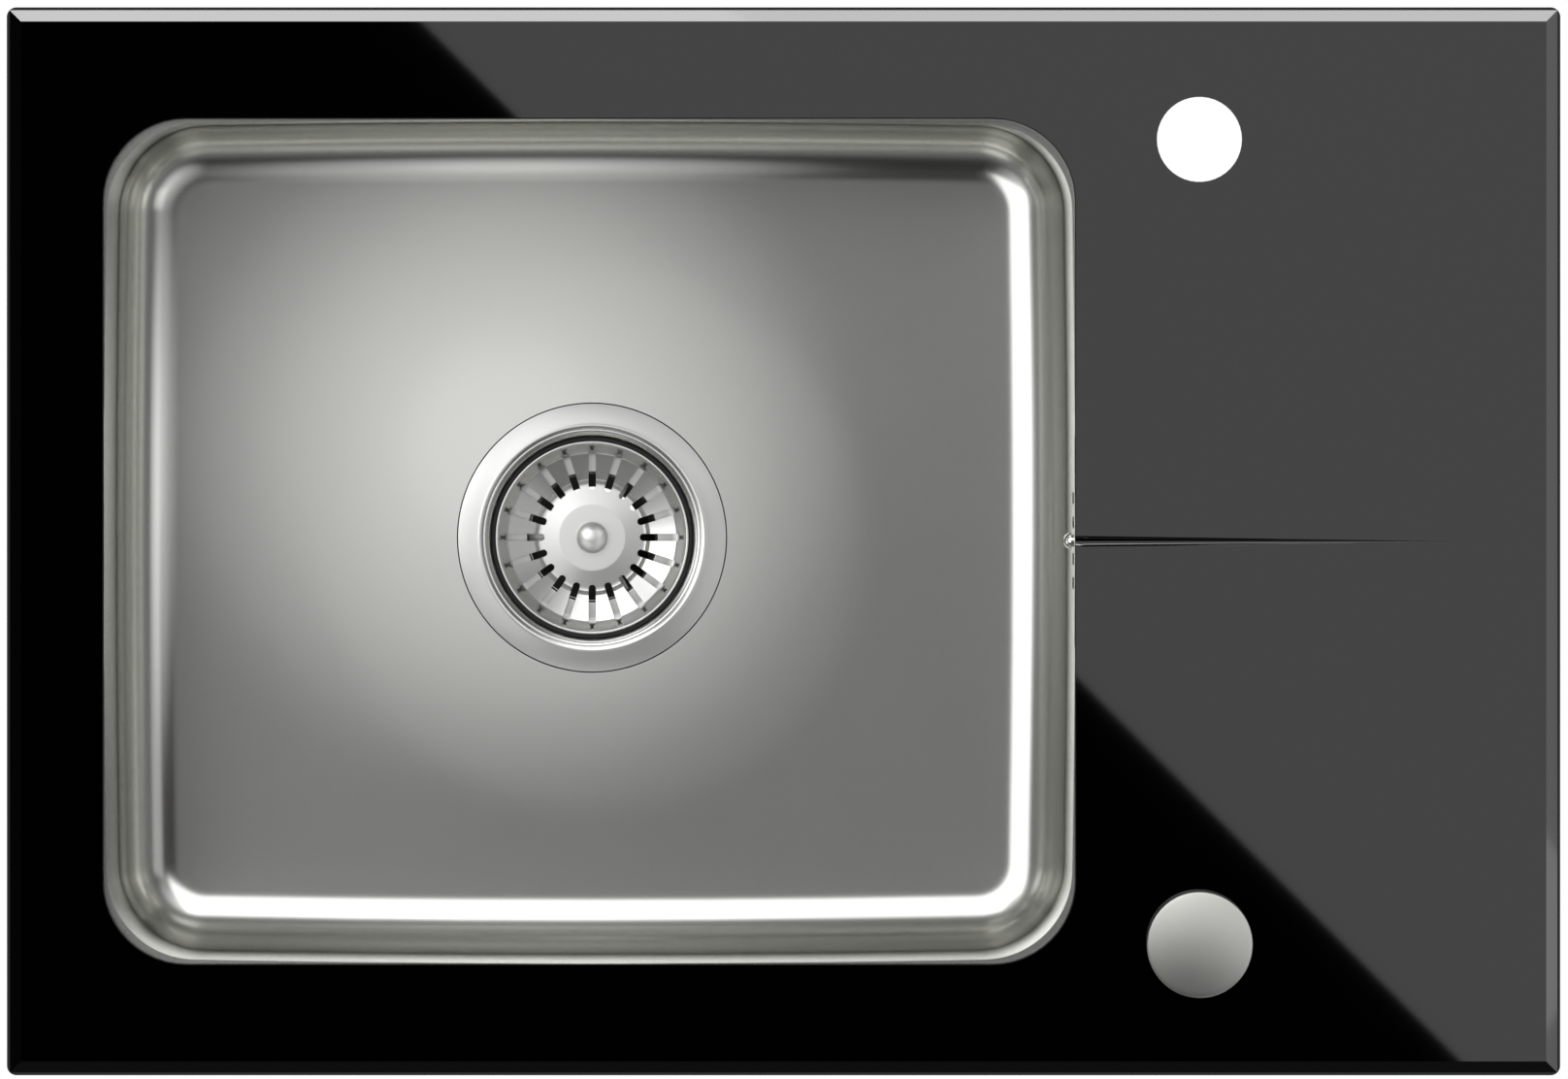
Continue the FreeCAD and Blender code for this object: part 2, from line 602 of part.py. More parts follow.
def waste_flange():
    """Pressed cup: raised ring with two beads, a step for the basket, a flat floor and a bolt spider."""
    crest = SEAT_Z + FLANGE_RISE
    edge = FLANGE_Z + FLANGE_EDGE
    swell = (FLANGE_CREST_R + FLANGE_R) / 2
    bead = (FLANGE_CREST_R - CUP_R) / 4
    step_r = BASKET_R - BASKET_SHEET
    step = STEP_Z - (CUP_R - step_r)
    top = [(FLANGE_R, FLANGE_Z), (FLANGE_R, edge)]
    top += [((swell, crest - (crest - edge) / 4), (FLANGE_CREST_R, crest))]
    top += [((CUP_R + 3 * bead, crest + bead / 2), (CUP_R + 2 * bead, crest - bead))]
    top += [((CUP_R + bead, crest - bead), (CUP_R, crest - 2 * bead))]
    turn = CUP_FLOOR_Z + CUP_CORNER
    bend = CUP_CORNER * math.sqrt(0.5)
    middle = (step_r - CUP_CORNER, turn)
    edge_r = CUP_OUTLET_R + CUP_SHEET
    edge_bend = CUP_SHEET * math.sqrt(0.5)
    inner = [(CUP_R, STEP_Z), (step_r, step), (step_r, turn)]
    inner += [((middle[0] + bend, turn - bend), (middle[0], CUP_FLOOR_Z)), (edge_r, CUP_FLOOR_Z)]
    lip = CUP_FLOOR_Z - CUP_SHEET
    inner += [((edge_r - edge_bend, lip + edge_bend), (CUP_OUTLET_R, lip)), (CUP_OUTLET_R, HUB_Z)]
    back = bend + CUP_SHEET * math.sqrt(0.5)
    outer = [(edge_r, HUB_Z), (edge_r, lip), (middle[0], lip)]
    outer += [((middle[0] + back, turn - back), (step_r + CUP_SHEET, turn))]
    outer += [(step_r + CUP_SHEET, step - CUP_SHEET / 2), (CUP_OUT, STEP_Z - CUP_SHEET / 2)]
    outer += [(CUP_OUT, FLANGE_Z)]
    cup = turned(top + inner + outer, BOWL_X)
    cup = cup.fuse(spider(HUB_R, HUB_Z, HUB_Z + HUB_THICK, CUP_OUTLET_R + CUP_SHEET / 2))
    return cup.cut(disc(BOLT_R + LOOSE, HUB_Z, HUB_Z + HUB_THICK, BOWL_X)).removeSplitter()


def flange_gasket():
    """Seal between the waste's ring and the floor's recess."""
    return ring(DRAIN_R, FLANGE_R - FLANGE_GASKET, RECESS_Z, FLANGE_Z, BOWL_X)


def lower_gasket():
    """Seal between the underside of the floor and the waste body."""
    return ring(BODY_BORE, BODY_R + BODY_RIM, BODY_TOP, BODY_TOP + LOWER_GASKET, BOWL_X)


def waste_body():
    """Moulded cup with a bolt hub, an outlet spigot, a stub for the overflow and a boss for the lever."""
    rim = BODY_R + BODY_RIM
    bore = OUTLET_R - OUTLET_WALL
    wall = [(0, BODY_TOP), (rim, BODY_TOP), (rim, BODY_TOP - BODY_RIM_THICK)]
    wall += [(BODY_R, BODY_TOP - BODY_RIM_THICK - BODY_RIM), (BODY_R, BODY_LOW)]
    wall += [(OUTLET_R, OUTLET_TOP), (OUTLET_R, OUTLET_LOW), (0, OUTLET_LOW)]
    room = [(0, BODY_TOP), (BODY_BORE, BODY_TOP), (BODY_BORE, BODY_LOW + BODY_WALL)]
    room += [(bore, OUTLET_TOP + BODY_WALL), (bore, OUTLET_LOW), (0, OUTLET_LOW)]
    inside = turned(room, BOWL_X)
    stub_start = Vector(BOWL_X, 0, STUB_Z)
    stub_end = Vector(BOWL_X + BODY_R + STUB_LENGTH, 0, STUB_Z)
    axle = Vector(SHAFT_X, BOSS_Y, SHAFT_Z)
    axle_end = Vector(SHAFT_X, 0, SHAFT_Z)
    body = turned(wall, BOWL_X).fuse([rod(PIPE_R, stub_start, stub_end), rod(BOSS_R, axle, axle_end)])
    body = body.cut([inside, rod(PIPE_BORE, stub_start, stub_end), rod(SHAFT_R + RUNNING, axle, axle_end)])
    body = body.cut(rod(SHAFT_R + SEAL_RING, axle, axle + Vector(0, SEAL_DEPTH, 0)))
    hub_low = BODY_HUB_Z - BODY_HUB_THICK
    body = body.fuse(spider(HUB_R, hub_low, BODY_HUB_Z, BODY_BORE + BODY_WALL / 2))
    return body.cut(disc(BOLT_R + THREAD, hub_low, BODY_HUB_Z, BOWL_X)).removeSplitter()


def centre_bolt():
    """Hollow bolt that draws the cup and the body together, with the lift pin in its bore."""
    head = HUB_Z + HUB_THICK
    bolt = disc(BOLT_HEAD_R, head, head + BOLT_HEAD, BOWL_X).fuse(disc(BOLT_R, BOLT_LOW, head, BOWL_X))
    return bolt.cut(disc(PIN_R + RUNNING, BOLT_LOW, head + BOLT_HEAD, BOWL_X))


# Strainer basket


def strainer_basket():
    """Pressed basket: folded rim, steep wall, shallow cone with a ring of slots, and a raised middle."""
    inner = BASKET_R - BASKET_SHEET
    top = [(0, DOME_Z), (DOME_TOP_R, DOME_Z), (DOME_BASE_R, CHANNEL_Z), (CHANNEL_R, CHANNEL_Z)]
    top += [(CONE_IN_R, CONE_Z), (CONE_OUT_R, CONE_Z + CONE_RISE), (inner, LIP_Z)]
    under = beside(top, BASKET_SHEET)[-2::-1]
    wall_r, wall_z = under[0]
    slope = BASKET_WALL / (inner - CONE_OUT_R)
    skirt = LIP_Z - BASKET_SKIRT
    rim = [(BASKET_R, LIP_Z), (BASKET_R, skirt), (inner, skirt), (inner, wall_z + slope * (inner - wall_r))]
    basket = turned(top + rim + under, BOWL_X)
    return basket.cut(basket_slots())


def basket_slots():
    """Ring of radial slots."""
    low = CHANNEL_Z - 2 * BASKET_SHEET
    slot = stadium(BASKET_SLOT_OUT - BASKET_SLOT_IN, BASKET_SLOT, LIP_Z - low)
    slot.translate(Vector((BASKET_SLOT_IN + BASKET_SLOT_OUT) / 2, 0, low))
    cuts = []
    for i in range(SLOT_COUNT):
        cut = slot.copy()
        cut.rotate(Vector(0, 0, 0), UP, 360 / SLOT_COUNT * i)
        cuts.append(cut.translated(Vector(BOWL_X, 0, 0)))
    return cuts


def basket_knob():
    """Ball on a short neck in the middle of the basket."""
    neck = math.sqrt(BALL_R**2 - BALL_NECK_R**2)
    centre = DOME_Z + BALL_NECK + neck
    side = (BALL_R, centre)
    points = [(0, DOME_Z), (BALL_NECK_R, DOME_Z), (BALL_NECK_R, centre - neck)]
    points += [(side, (0, centre + BALL_R))]
    return turned(points, BOWL_X)


def basket_seal():
    """Rubber ring round the basket's folded rim."""
    outer = CUP_R - BASKET_SEAL_GAP
    low = LIP_Z - BASKET_SKIRT
    return ring(BASKET_R, outer, low, LIP_Z - LIP_HEIGHT, BOWL_X)


# Pop-up lift


def swung(shape, angle):
    """Shape turned about the lever's shaft."""
    turnable = shape.copy()
    turnable.rotate(Vector(SHAFT_X, 0, SHAFT_Z), Vector(0, 1, 0), angle)
    return turnable


def lift_pin():
    """Pin through the hollow bolt, with a flat head under the basket's middle."""
    neck = PIN_TOP - PIN_HEAD
    head = [(0, PIN_TOP), (PIN_HEAD_R, PIN_TOP), (PIN_HEAD_R, neck), (PIN_R, neck)]
    return turned(head + [(PIN_R, PIN_LOW + PIN_TIP), (PIN_R - PIN_TIP, PIN_LOW), (0, PIN_LOW)], BOWL_X)


def lift_lever():
    """Shaft through the body's wall with an arm whose rounded end is under the pin."""
    inner_end = Vector(SHAFT_X, PAD_WIDTH, SHAFT_Z)
    outer_end = Vector(SHAFT_X, BOSS_Y - CASE_ROOM / 2 - CRANK_THICK, SHAFT_Z)
    pad_x = SHAFT_X - LEVER_ARM
    thin = LEVER_THICK / 2
    arm = bar(pad_x, SHAFT_X, -PAD_WIDTH / 2, PAD_WIDTH / 2, SHAFT_Z - thin, SHAFT_Z + thin)
    pad = rod(PAD_R, Vector(pad_x, -PAD_WIDTH / 2, SHAFT_Z), Vector(pad_x, PAD_WIDTH / 2, SHAFT_Z))
    hub_end = Vector(SHAFT_X, PAD_WIDTH / 2, SHAFT_Z)
    hub = rod(CRANK_HUB_R, Vector(SHAFT_X, -PAD_WIDTH / 2, SHAFT_Z), hub_end)
    return swung(rod(SHAFT_R, outer_end, inner_end).fuse([arm, pad, hub]).removeSplitter(), -HALF_ANGLE)


def crank_arm():
    """Arm on the shaft's outer end, with an eye for the cable."""
    near = BOSS_Y - CASE_ROOM / 2
    far = near - CRANK_THICK
    eye_r = CRANK_EYE_R + CASE_WALL
    eye_z = SHAFT_Z + CRANK_LENGTH
    arm = bar(SHAFT_X - eye_r, SHAFT_X + eye_r, far, near, SHAFT_Z, eye_z)
    hub = rod(CRANK_HUB_R, Vector(SHAFT_X, far, SHAFT_Z), Vector(SHAFT_X, near, SHAFT_Z))
    eye = [Vector(SHAFT_X, far, eye_z), Vector(SHAFT_X, near, eye_z)]
    shaft = [Vector(SHAFT_X, far, SHAFT_Z), Vector(SHAFT_X, near, SHAFT_Z)]
    arm = arm.fuse([hub, rod(eye_r, *eye)]).cut([rod(CRANK_EYE_R, *eye), rod(SHAFT_R, *shaft)])
    return swung(arm.removeSplitter(), -HALF_ANGLE)


def lever_seal():
    """Ring that seals the shaft in its boss."""
    start = Vector(SHAFT_X, BOSS_Y, SHAFT_Z)
    end = start + Vector(0, SEAL_DEPTH, 0)
    return rod(SHAFT_R + SEAL_RING, start, end).cut(rod(SHAFT_R + RUNNING, start, end))


def case_limits(wall):
    """Limits in X and Z of the crank's case, in from its outside by a wall."""
    sweep = CRANK_LENGTH * math.sin(math.radians(HALF_ANGLE)) + CRANK_EYE_R + 2 * CASE_WALL
    half = max(sweep, BOSS_R + CASE_WALL) + CASE_ROOM - wall
    low = SHAFT_Z - BOSS_R - CASE_ROOM + wall
    high = SHAFT_Z + CRANK_LENGTH + CRANK_EYE_R + 2 * CASE_WALL + CASE_ROOM - wall
    return SHAFT_X - half, SHAFT_X + half, low, high


def case_plate(wall, far, near):
    """Round-cornered plate of the crank case's outline between two depths."""
    x_low, x_high, z_low, z_high = case_limits(wall)
    plate = bar(x_low, x_high, far, near, z_low, z_high)
    return plate.makeFillet(CASE_ROOM, [e for e in plate.Edges if e.BoundBox.YLength > (near - far) / 2])


def case_front():
    """Depth of the crank case's open front, past the crank and past the gland."""
    return BOSS_Y - max(CRANK_THICK + CASE_ROOM, 2 * GLAND_R)


def cover_screw_spots():
    """Places of the cover's two screws, in opposite corners of the case."""
    x_low, x_high, z_low, z_high = case_limits(CASE_ROOM + CASE_WALL / 2)
    return [(x_low, z_low), (x_high, z_low)]


def lever_housing():
    """Case on the boss that holds the crank, open at its front, with a gland for the cable."""
    back = BOSS_Y + CASE_WALL
    case = case_plate(0, case_front(), back)
    x_low, x_high, z_low, z_high = case_limits(0)
    gland = Vector(x_high - CASE_WALL, (BOSS_Y + case_front()) / 2, SHAFT_Z + CRANK_LENGTH)
    gland_end = gland + Vector(GLAND_LENGTH, 0, 0)
    case = case.cut(case_plate(CASE_WALL, case_front(), BOSS_Y)).fuse(rod(GLAND_R, gland, gland_end))
    for x, z in cover_screw_spots():
        case = case.fuse(rod(COVER_HEAD_R, Vector(x, case_front(), z), Vector(x, BOSS_Y, z)))
    holes = [rod(GLAND_BORE, gland, gland_end)]
    holes.append(rod(BOSS_R + THREAD, Vector(SHAFT_X, BOSS_Y, SHAFT_Z), Vector(SHAFT_X, back, SHAFT_Z)))
    for x, z in cover_screw_spots():
        depth = case_front() + CRANK_THICK
        holes.append(rod(COVER_SCREW_R + THREAD, Vector(x, case_front(), z), Vector(x, depth, z)))
    return case.cut(holes).removeSplitter()


def lever_cover():
    """Plate over the crank case's front."""
    front = case_front()
    plate = case_plate(0, front - CASE_WALL, front)
    holes = []
    for x, z in cover_screw_spots():
        holes.append(rod(COVER_SCREW_R + LOOSE, Vector(x, front - CASE_WALL, z), Vector(x, front, z)))
    return plate.cut(holes)


def cover_screws():
    """Two screws that hold the crank case's cover."""
    seat = case_front() - CASE_WALL
    screws = []
    for x, z in cover_screw_spots():
        head = rod(COVER_HEAD_R, Vector(x, seat - COVER_HEAD, z), Vector(x, seat, z))
        screws.append(head.fuse(rod(COVER_SCREW_R, Vector(x, seat, z), Vector(x, seat + CRANK_THICK, z))))
    return Part.makeCompound(screws)


# Control knob and its drum


def control_knob():
    """Hollow knob with a slightly domed top, a rounded edge and a hub for the spindle."""
    high = KNOB_LOW + KNOB_HEIGHT
    edge = KNOB_EDGE * (1 - math.sqrt(0.5))
    rim = ((KNOB_R - edge, high - edge), (KNOB_R - KNOB_EDGE, high))
    roof = high - KNOB_WALL
    outer = [(KNOB_HUB_R, KNOB_LOW), (KNOB_HUB_R, roof), (KNOB_R - KNOB_WALL, roof)]
    outer += [(KNOB_R - KNOB_WALL, KNOB_LOW), (KNOB_R, KNOB_LOW), (KNOB_R, high - KNOB_EDGE), rim]
    outer += [dome(KNOB_R - KNOB_EDGE, high, KNOB_DOME), (0, KNOB_LOW)]
    knob = turned(outer, HOLE_X, KNOB_Y)
    knob = knob.cut(disc(SPINDLE_R, KNOB_LOW, KNOB_LOW + SPINDLE_GRIP, HOLE_X, KNOB_Y))
    return knob.cut(rod(GRUB_R, *grub_line(KNOB_HUB_R)))


def grub_line(reach):
    """Line of the grub screw, from the spindle's face out to a radius."""
    z = KNOB_LOW + SPINDLE_GRIP / 2
    return Vector(HOLE_X, KNOB_Y - SPINDLE_R, z), Vector(HOLE_X, KNOB_Y - reach, z)


def knob_screw():
    """Grub screw that holds the knob on its spindle."""
    start, end = grub_line(KNOB_HUB_R)
    return rod(GRUB_R, start, end).cut(disc(SPINDLE_R, start.z - GRUB_R, start.z + GRUB_R, HOLE_X, KNOB_Y))


def knob_spindle():
    """Stepped spindle from the knob down through the sleeve and the drum to the lid's bearing."""
    top = KNOB_LOW + SPINDLE_GRIP
    tip = disc(SPINDLE_TIP_R, LID_TOP - LID_THICK, DRUM_LOW, HOLE_X, KNOB_Y)
    return disc(SPINDLE_R, DRUM_LOW, top, HOLE_X, KNOB_Y).fuse(tip)


def cable_drum():
    """Drum on the spindle with a groove for the cable."""
    points = [(SPINDLE_R, DRUM_LOW), (DRUM_FLANGE_R, DRUM_LOW), (DRUM_FLANGE_R, DRUM_LOW + DRUM_FLANGE)]
    points += [(DRUM_R, DRUM_LOW + DRUM_FLANGE), (DRUM_R, DRUM_HIGH - DRUM_FLANGE)]
    points += [(DRUM_FLANGE_R, DRUM_HIGH - DRUM_FLANGE), (DRUM_FLANGE_R, DRUM_HIGH), (SPINDLE_R, DRUM_HIGH)]
    return turned(points, HOLE_X, KNOB_Y)


def knob_sleeve():
    """Flanged sleeve through the glass that carries the spindle, with a neck for the drum's case."""
    under = GLASS_TOP + KNOB_GASKET
    bore = SPINDLE_R + RUNNING
    low = SLEEVE_LOW - SLEEVE_NECK
    points = [(bore, FLANGE_TOP), (bore, low), (SLEEVE_NECK_R, low)]
    points += [(SLEEVE_NECK_R, SLEEVE_LOW), (SLEEVE_R, SLEEVE_LOW), (SLEEVE_R, under)]
    points += [(SLEEVE_FLANGE_R, under), (SLEEVE_FLANGE_R, FLANGE_TOP)]
    return turned(points, HOLE_X, KNOB_Y)


def knob_gasket():
    """Rubber ring between the sleeve's flange and the glass."""
    return ring(SLEEVE_R + LOOSE, SLEEVE_FLANGE_R, GLASS_TOP, GLASS_TOP + KNOB_GASKET, HOLE_X, KNOB_Y)


def knob_washer():
    """Soft washer between the glass and the lock nut."""
    return ring(SLEEVE_R + LOOSE, NUT_R - KNOB_WASHER, NUT_TOP, GLASS_LOW, HOLE_X, KNOB_Y)


def knob_lock_nut():
    """Flanged nut with flats round it that clamps the sleeve to the glass."""
    turns = [2 * math.pi * (i + 0.5) / NUT_FLATS for i in range(NUT_FLATS)]
    spots = [Vector(NUT_R * math.cos(a), NUT_R * math.sin(a), NUT_TOP - NUT_THICK) for a in turns]
    prism = Part.Face(Part.makePolygon(spots + spots[:1])).extrude(Vector(0, 0, NUT_THICK))
    prism = prism.translated(Vector(HOLE_X, KNOB_Y, 0))
    return prism.cut(disc(SLEEVE_R + THREAD, NUT_TOP - NUT_THICK, NUT_TOP, HOLE_X, KNOB_Y))


def drum_housing():
    """Cup on the sleeve's neck that holds the drum, with a gland for the cable."""
    outer = CASE_R + CASE_WALL
    roof = DRUM_HIGH + DRUM_ROOM + SLEEVE_NECK / 2
    points = [(SLEEVE_NECK_R + THREAD, SLEEVE_LOW), (outer, SLEEVE_LOW)]
    points += [(outer, LID_TOP), (CASE_R, LID_TOP), (CASE_R, roof), (SLEEVE_NECK_R + THREAD, roof)]
    middle = (DRUM_LOW + DRUM_HIGH) / 2
    gland = Vector(HOLE_X - CASE_R, KNOB_Y + DRUM_R, middle)
    gland_end = gland - Vector(CASE_WALL + GLAND_LENGTH, 0, 0)
    mouth = gland + Vector(CASE_R, 0, 0)
    room = disc(CASE_R, LID_TOP, roof, HOLE_X, KNOB_Y)
    case = turned(points, HOLE_X, KNOB_Y).fuse(rod(GLAND_R, mouth, gland_end).cut(room))
    return case.cut(rod(GLAND_BORE, mouth, gland_end)).removeSplitter()


def housing_lid():
    """Lid of the drum's case, with a bearing for the spindle's tip."""
    lid = disc(CASE_R + CASE_WALL, LID_TOP - LID_THICK, LID_TOP, HOLE_X, KNOB_Y)
    return lid.cut(disc(SPINDLE_TIP_R + RUNNING, LID_TOP - LID_THICK, LID_TOP, HOLE_X, KNOB_Y))


# Worktop clips


def clip_places():
    """Middle of each clip's outer edge and the direction it grips in, as degrees round +Z from +X."""
    rows = [(BOWL_X + s * CLIP_SPREAD, t * CLIP_Y, t * 90) for t in (-1, 1) for s in (-1, 1)]
    return rows + [(-CLIP_X, 0, 180), (CLIP_X, 0, 0)]


def clip_placed(shape, place):
    """Shape made for a clip that grips towards +X at the origin, set at its place."""
    x, y, turn = place
    set_shape = shape.copy()
    set_shape.rotate(Vector(0, 0, 0), UP, turn)
    return set_shape.translated(Vector(x, y, 0))


def clip_bracket():
    """Bent bracket bonded under the glass, open to the outside, with a threaded hole in its foot."""
    half = CLIP_LENGTH / 2
    foot = GLASS_LOW - CLIP_DROP
    profile = bar(-CLIP_WIDTH, 0, -half, half, foot, GLASS_LOW)
    room = bar(CLIP_SHEET - CLIP_WIDTH, 0, -half, half, foot + CLIP_SHEET, GLASS_LOW - CLIP_SHEET)
    hole = disc(CLIP_SCREW_R + RUNNING, foot, foot + CLIP_SHEET, -CLIP_WIDTH / 2)
    return profile.cut([room, hole])


def clip_screw():
    """Screw up through the claw into the bracket's foot, with a collar that keeps the claw on it."""
    x = -CLIP_WIDTH / 2
    foot = GLASS_LOW - CLIP_DROP
    collar = foot - CLIP_TRAVEL - CLIP_COLLAR - LOOSE
    seat = collar - CLAW_THICK - 2 * RUNNING
    shank = disc(CLIP_SCREW_R, seat, foot + 2 * CLIP_SHEET, x)
    collar_ring = disc(CLIP_COLLAR_R, collar, collar + CLIP_COLLAR, x)
    screw = shank.fuse([disc(CLIP_HEAD_R, seat - CLIP_HEAD, seat, x), collar_ring])
    low = seat - CLIP_HEAD
    half = CLIP_DRIVE / 2
    return screw.cut(bar(x - CLIP_HEAD_R, x + CLIP_HEAD_R, -half, half, low, low + CLIP_DRIVE))


def clip_claw():
    """Claw parked along the deck's edge: a plate on the screw with a toothed lip at its end."""
    x = -CLIP_WIDTH / 2
    half = CLAW_WIDTH / 2
    low = GLASS_LOW - CLIP_DROP - CLIP_TRAVEL - CLIP_COLLAR - LOOSE - CLAW_THICK - RUNNING
    plate = bar(0, CLAW_REACH, -half, half, low, low + CLAW_THICK).fuse(disc(half, low, low + CLAW_THICK))
    lip = bar(CLAW_REACH - CLAW_THICK, CLAW_REACH, -half, half, low, low + CLAW_LIP)
    pitch = CLAW_WIDTH / CLAW_TEETH
    notches = []
    for i in range(CLAW_TEETH):
        left = -half + i * pitch
        spots = [(left, CLAW_LIP), (left + pitch / 2, CLAW_LIP - CLAW_TOOTH), (left + pitch, CLAW_LIP)]
        wire = Part.makePolygon([Vector(CLAW_REACH - CLAW_THICK, v, low + w) for v, w in spots + spots[:1]])
        notches.append(Part.Face(wire).extrude(Vector(CLAW_THICK, 0, 0)))
    claw = plate.fuse(lip).cut(notches + [disc(CLIP_SCREW_R + RUNNING, low, low + CLAW_THICK)])
    claw = claw.removeSplitter()
    claw.rotate(Vector(0, 0, 0), UP, 90)
    return claw.translated(Vector(x, 0, 0))


def main():
    """Build and write every sub-part."""
    os.makedirs("parts", exist_ok=True)
    outer = bowl_form(SHEET)
    makers = [glass_top, deck_seal, bond_seal, overflow_screw, overflow_pipe]
    makers += [waste_flange, flange_gasket, lower_gasket, waste_body, centre_bolt]
    makers += [strainer_basket, basket_knob, basket_seal]
    makers += [lift_pin, lift_lever, crank_arm, lever_seal, lever_housing, lever_cover, cover_screws]
    makers += [control_knob, knob_screw, knob_spindle, cable_drum, knob_sleeve, knob_gasket]
    makers += [knob_washer, knob_lock_nut, drum_housing, housing_lid]
    for maker in makers:
        save(maker.__name__, maker())
    for maker in (bowl, sound_pad, overflow_gasket, overflow_housing):
        save(maker.__name__, maker(outer))
    places = clip_places()
    save("clip_brackets", Part.makeCompound([clip_placed(clip_bracket(), p) for p in places]))
    for number, place in enumerate(places, 1):
        save("clip_screw_%d" % number, clip_placed(clip_screw(), place))
        save("clip_claw_%d" % number, clip_placed(clip_claw(), place))


main()
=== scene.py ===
"""Looks of an inset kitchen sink: black glass deck, pressed steel bowl, basket waste and pop-up knob.

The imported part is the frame. The pieces that are seen are modelled again in fine detail around it, and
the rest of the frame's nodes are dressed where they are. Metres, +Z up.
"""

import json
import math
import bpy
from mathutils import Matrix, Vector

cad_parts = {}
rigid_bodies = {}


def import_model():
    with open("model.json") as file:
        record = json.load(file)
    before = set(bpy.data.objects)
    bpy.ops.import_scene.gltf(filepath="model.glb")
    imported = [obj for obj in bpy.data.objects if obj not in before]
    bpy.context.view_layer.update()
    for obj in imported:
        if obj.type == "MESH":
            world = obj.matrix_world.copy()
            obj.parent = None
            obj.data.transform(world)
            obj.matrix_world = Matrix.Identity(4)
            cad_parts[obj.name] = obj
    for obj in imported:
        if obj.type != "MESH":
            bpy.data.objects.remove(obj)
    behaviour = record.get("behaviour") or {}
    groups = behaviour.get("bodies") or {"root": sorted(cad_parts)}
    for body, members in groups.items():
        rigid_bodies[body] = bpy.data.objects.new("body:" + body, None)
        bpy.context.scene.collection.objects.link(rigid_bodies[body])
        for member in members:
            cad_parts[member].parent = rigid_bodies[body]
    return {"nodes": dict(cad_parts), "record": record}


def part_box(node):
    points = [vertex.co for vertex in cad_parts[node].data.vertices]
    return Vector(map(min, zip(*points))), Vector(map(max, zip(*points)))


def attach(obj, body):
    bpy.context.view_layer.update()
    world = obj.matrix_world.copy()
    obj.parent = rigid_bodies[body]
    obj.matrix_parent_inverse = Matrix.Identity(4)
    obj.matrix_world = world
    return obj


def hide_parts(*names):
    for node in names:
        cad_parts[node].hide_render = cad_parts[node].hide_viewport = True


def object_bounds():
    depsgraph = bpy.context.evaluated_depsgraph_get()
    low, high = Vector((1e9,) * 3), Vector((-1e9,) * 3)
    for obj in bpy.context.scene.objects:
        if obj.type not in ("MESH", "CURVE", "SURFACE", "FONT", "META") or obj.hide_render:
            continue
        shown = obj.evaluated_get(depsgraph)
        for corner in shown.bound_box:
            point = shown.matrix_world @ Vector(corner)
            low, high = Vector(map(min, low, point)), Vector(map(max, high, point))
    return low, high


bl_info = {
    "name": "Glass deck sink",
    "version": (1, 0, 0),
    "blender": (4, 5, 0),
    "location": "View3D > Sidebar > Sink",
    "description": "Models and dresses the pieces of a glass deck kitchen sink",
    "category": "Object",
}

import bmesh
import bpy
from bpy.props import FloatProperty, FloatVectorProperty, IntProperty, PointerProperty
from mathutils import Matrix, Vector

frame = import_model()
CAD_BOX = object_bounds()
NODES = frame["nodes"]
MM = 0.001
MICRON = 0.000001
X = 0
Z = 2

# Upright axis of the bowl and the waste, at y = 0, and the drain on it that lamps are aimed at
AXIS_X = -0.080
DRAIN = (AXIS_X, 0, -0.17)

# Sides of a fine turned piece, and steps of a rounded corner and of the rim's lip
FINE_RING = 160
ROUND_STEPS = 24
LIP_STEPS = 15

# Points this near are one point, and heights this near are one height
MERGE = 1e-6
LEVEL = 0.01 * MM

# Aim of a lamp that isn't turned
DOWN = None


def length(name, description, millimetres):
    """A length property, given in millimetres."""
    size = millimetres * MM
    return FloatProperty(name=name, description=description, default=size, unit="LENGTH", precision=5)


def colour(name, description, value):
    """A colour property."""
    kind = {"subtype": "COLOR", "min": 0, "max": 1}
    return FloatVectorProperty(name=name, description=description, default=value, **kind)


# Sizes and colours that a user would change


class BowlSizes(bpy.types.PropertyGroup):
    """Sizes of the pressed bowl"""

    rim: length("Rim height", "Height of the bowl's rim", 1.5)
    mouth_length: length("Mouth length", "Length of the mouth between the middles of its ends", 400.0)
    mouth_width: length("Mouth width", "Width of the mouth between the middles of its sides", 347.6)
    depth: length("Depth", "From the rim to the flat of the floor", 165.0)
    end_taper: length("End taper", "How far the end walls lean in over the depth", 2.9)
    side_taper: length("Side taper", "How far the side walls lean in over the depth", 1.0)
    end_crown: length("End crown", "Swell of the end walls", 2.0)
    side_crown: length("Side crown", "Swell of the side walls", 2.4)
    corner: length("Corner", "Radius of the upright corners", 35.0)
    cove: length("Cove", "Radius where the walls turn into the floor", 25.0)
    lip: length("Lip", "Radius of the rim's turned edge", 0.2)
    flange: length("Flange", "Width of the flange under the glass", 13.8)
    sheet: length("Sheet", "Thickness of the sheet", 1.0)
    dish: length("Dish", "Radius of the floor's dished part", 120.4)
    drop: length("Drop", "Fall of the dish", 1.0)
    recess: length("Recess", "Radius of the recess round the waste", 56.2)
    recess_depth: length("Recess depth", "Depth of that recess", 2.6)
    drain: length("Drain", "Radius of the hole for the waste", 45.4)
    slot_width: length("Slot width", "Width of the overflow slots", 5.0)
    slot_height: length("Slot height", "Height of the overflow slots", 26.0)
    slot_pitch: length("Slot pitch", "Distance between the overflow slots", 10.0)
    slot_slope: FloatProperty(name="Slot slope", description="Fall for each unit outward", default=0.8)
    slot_count: IntProperty(name="Overflow slots", description="How many slots", default=4, min=1)


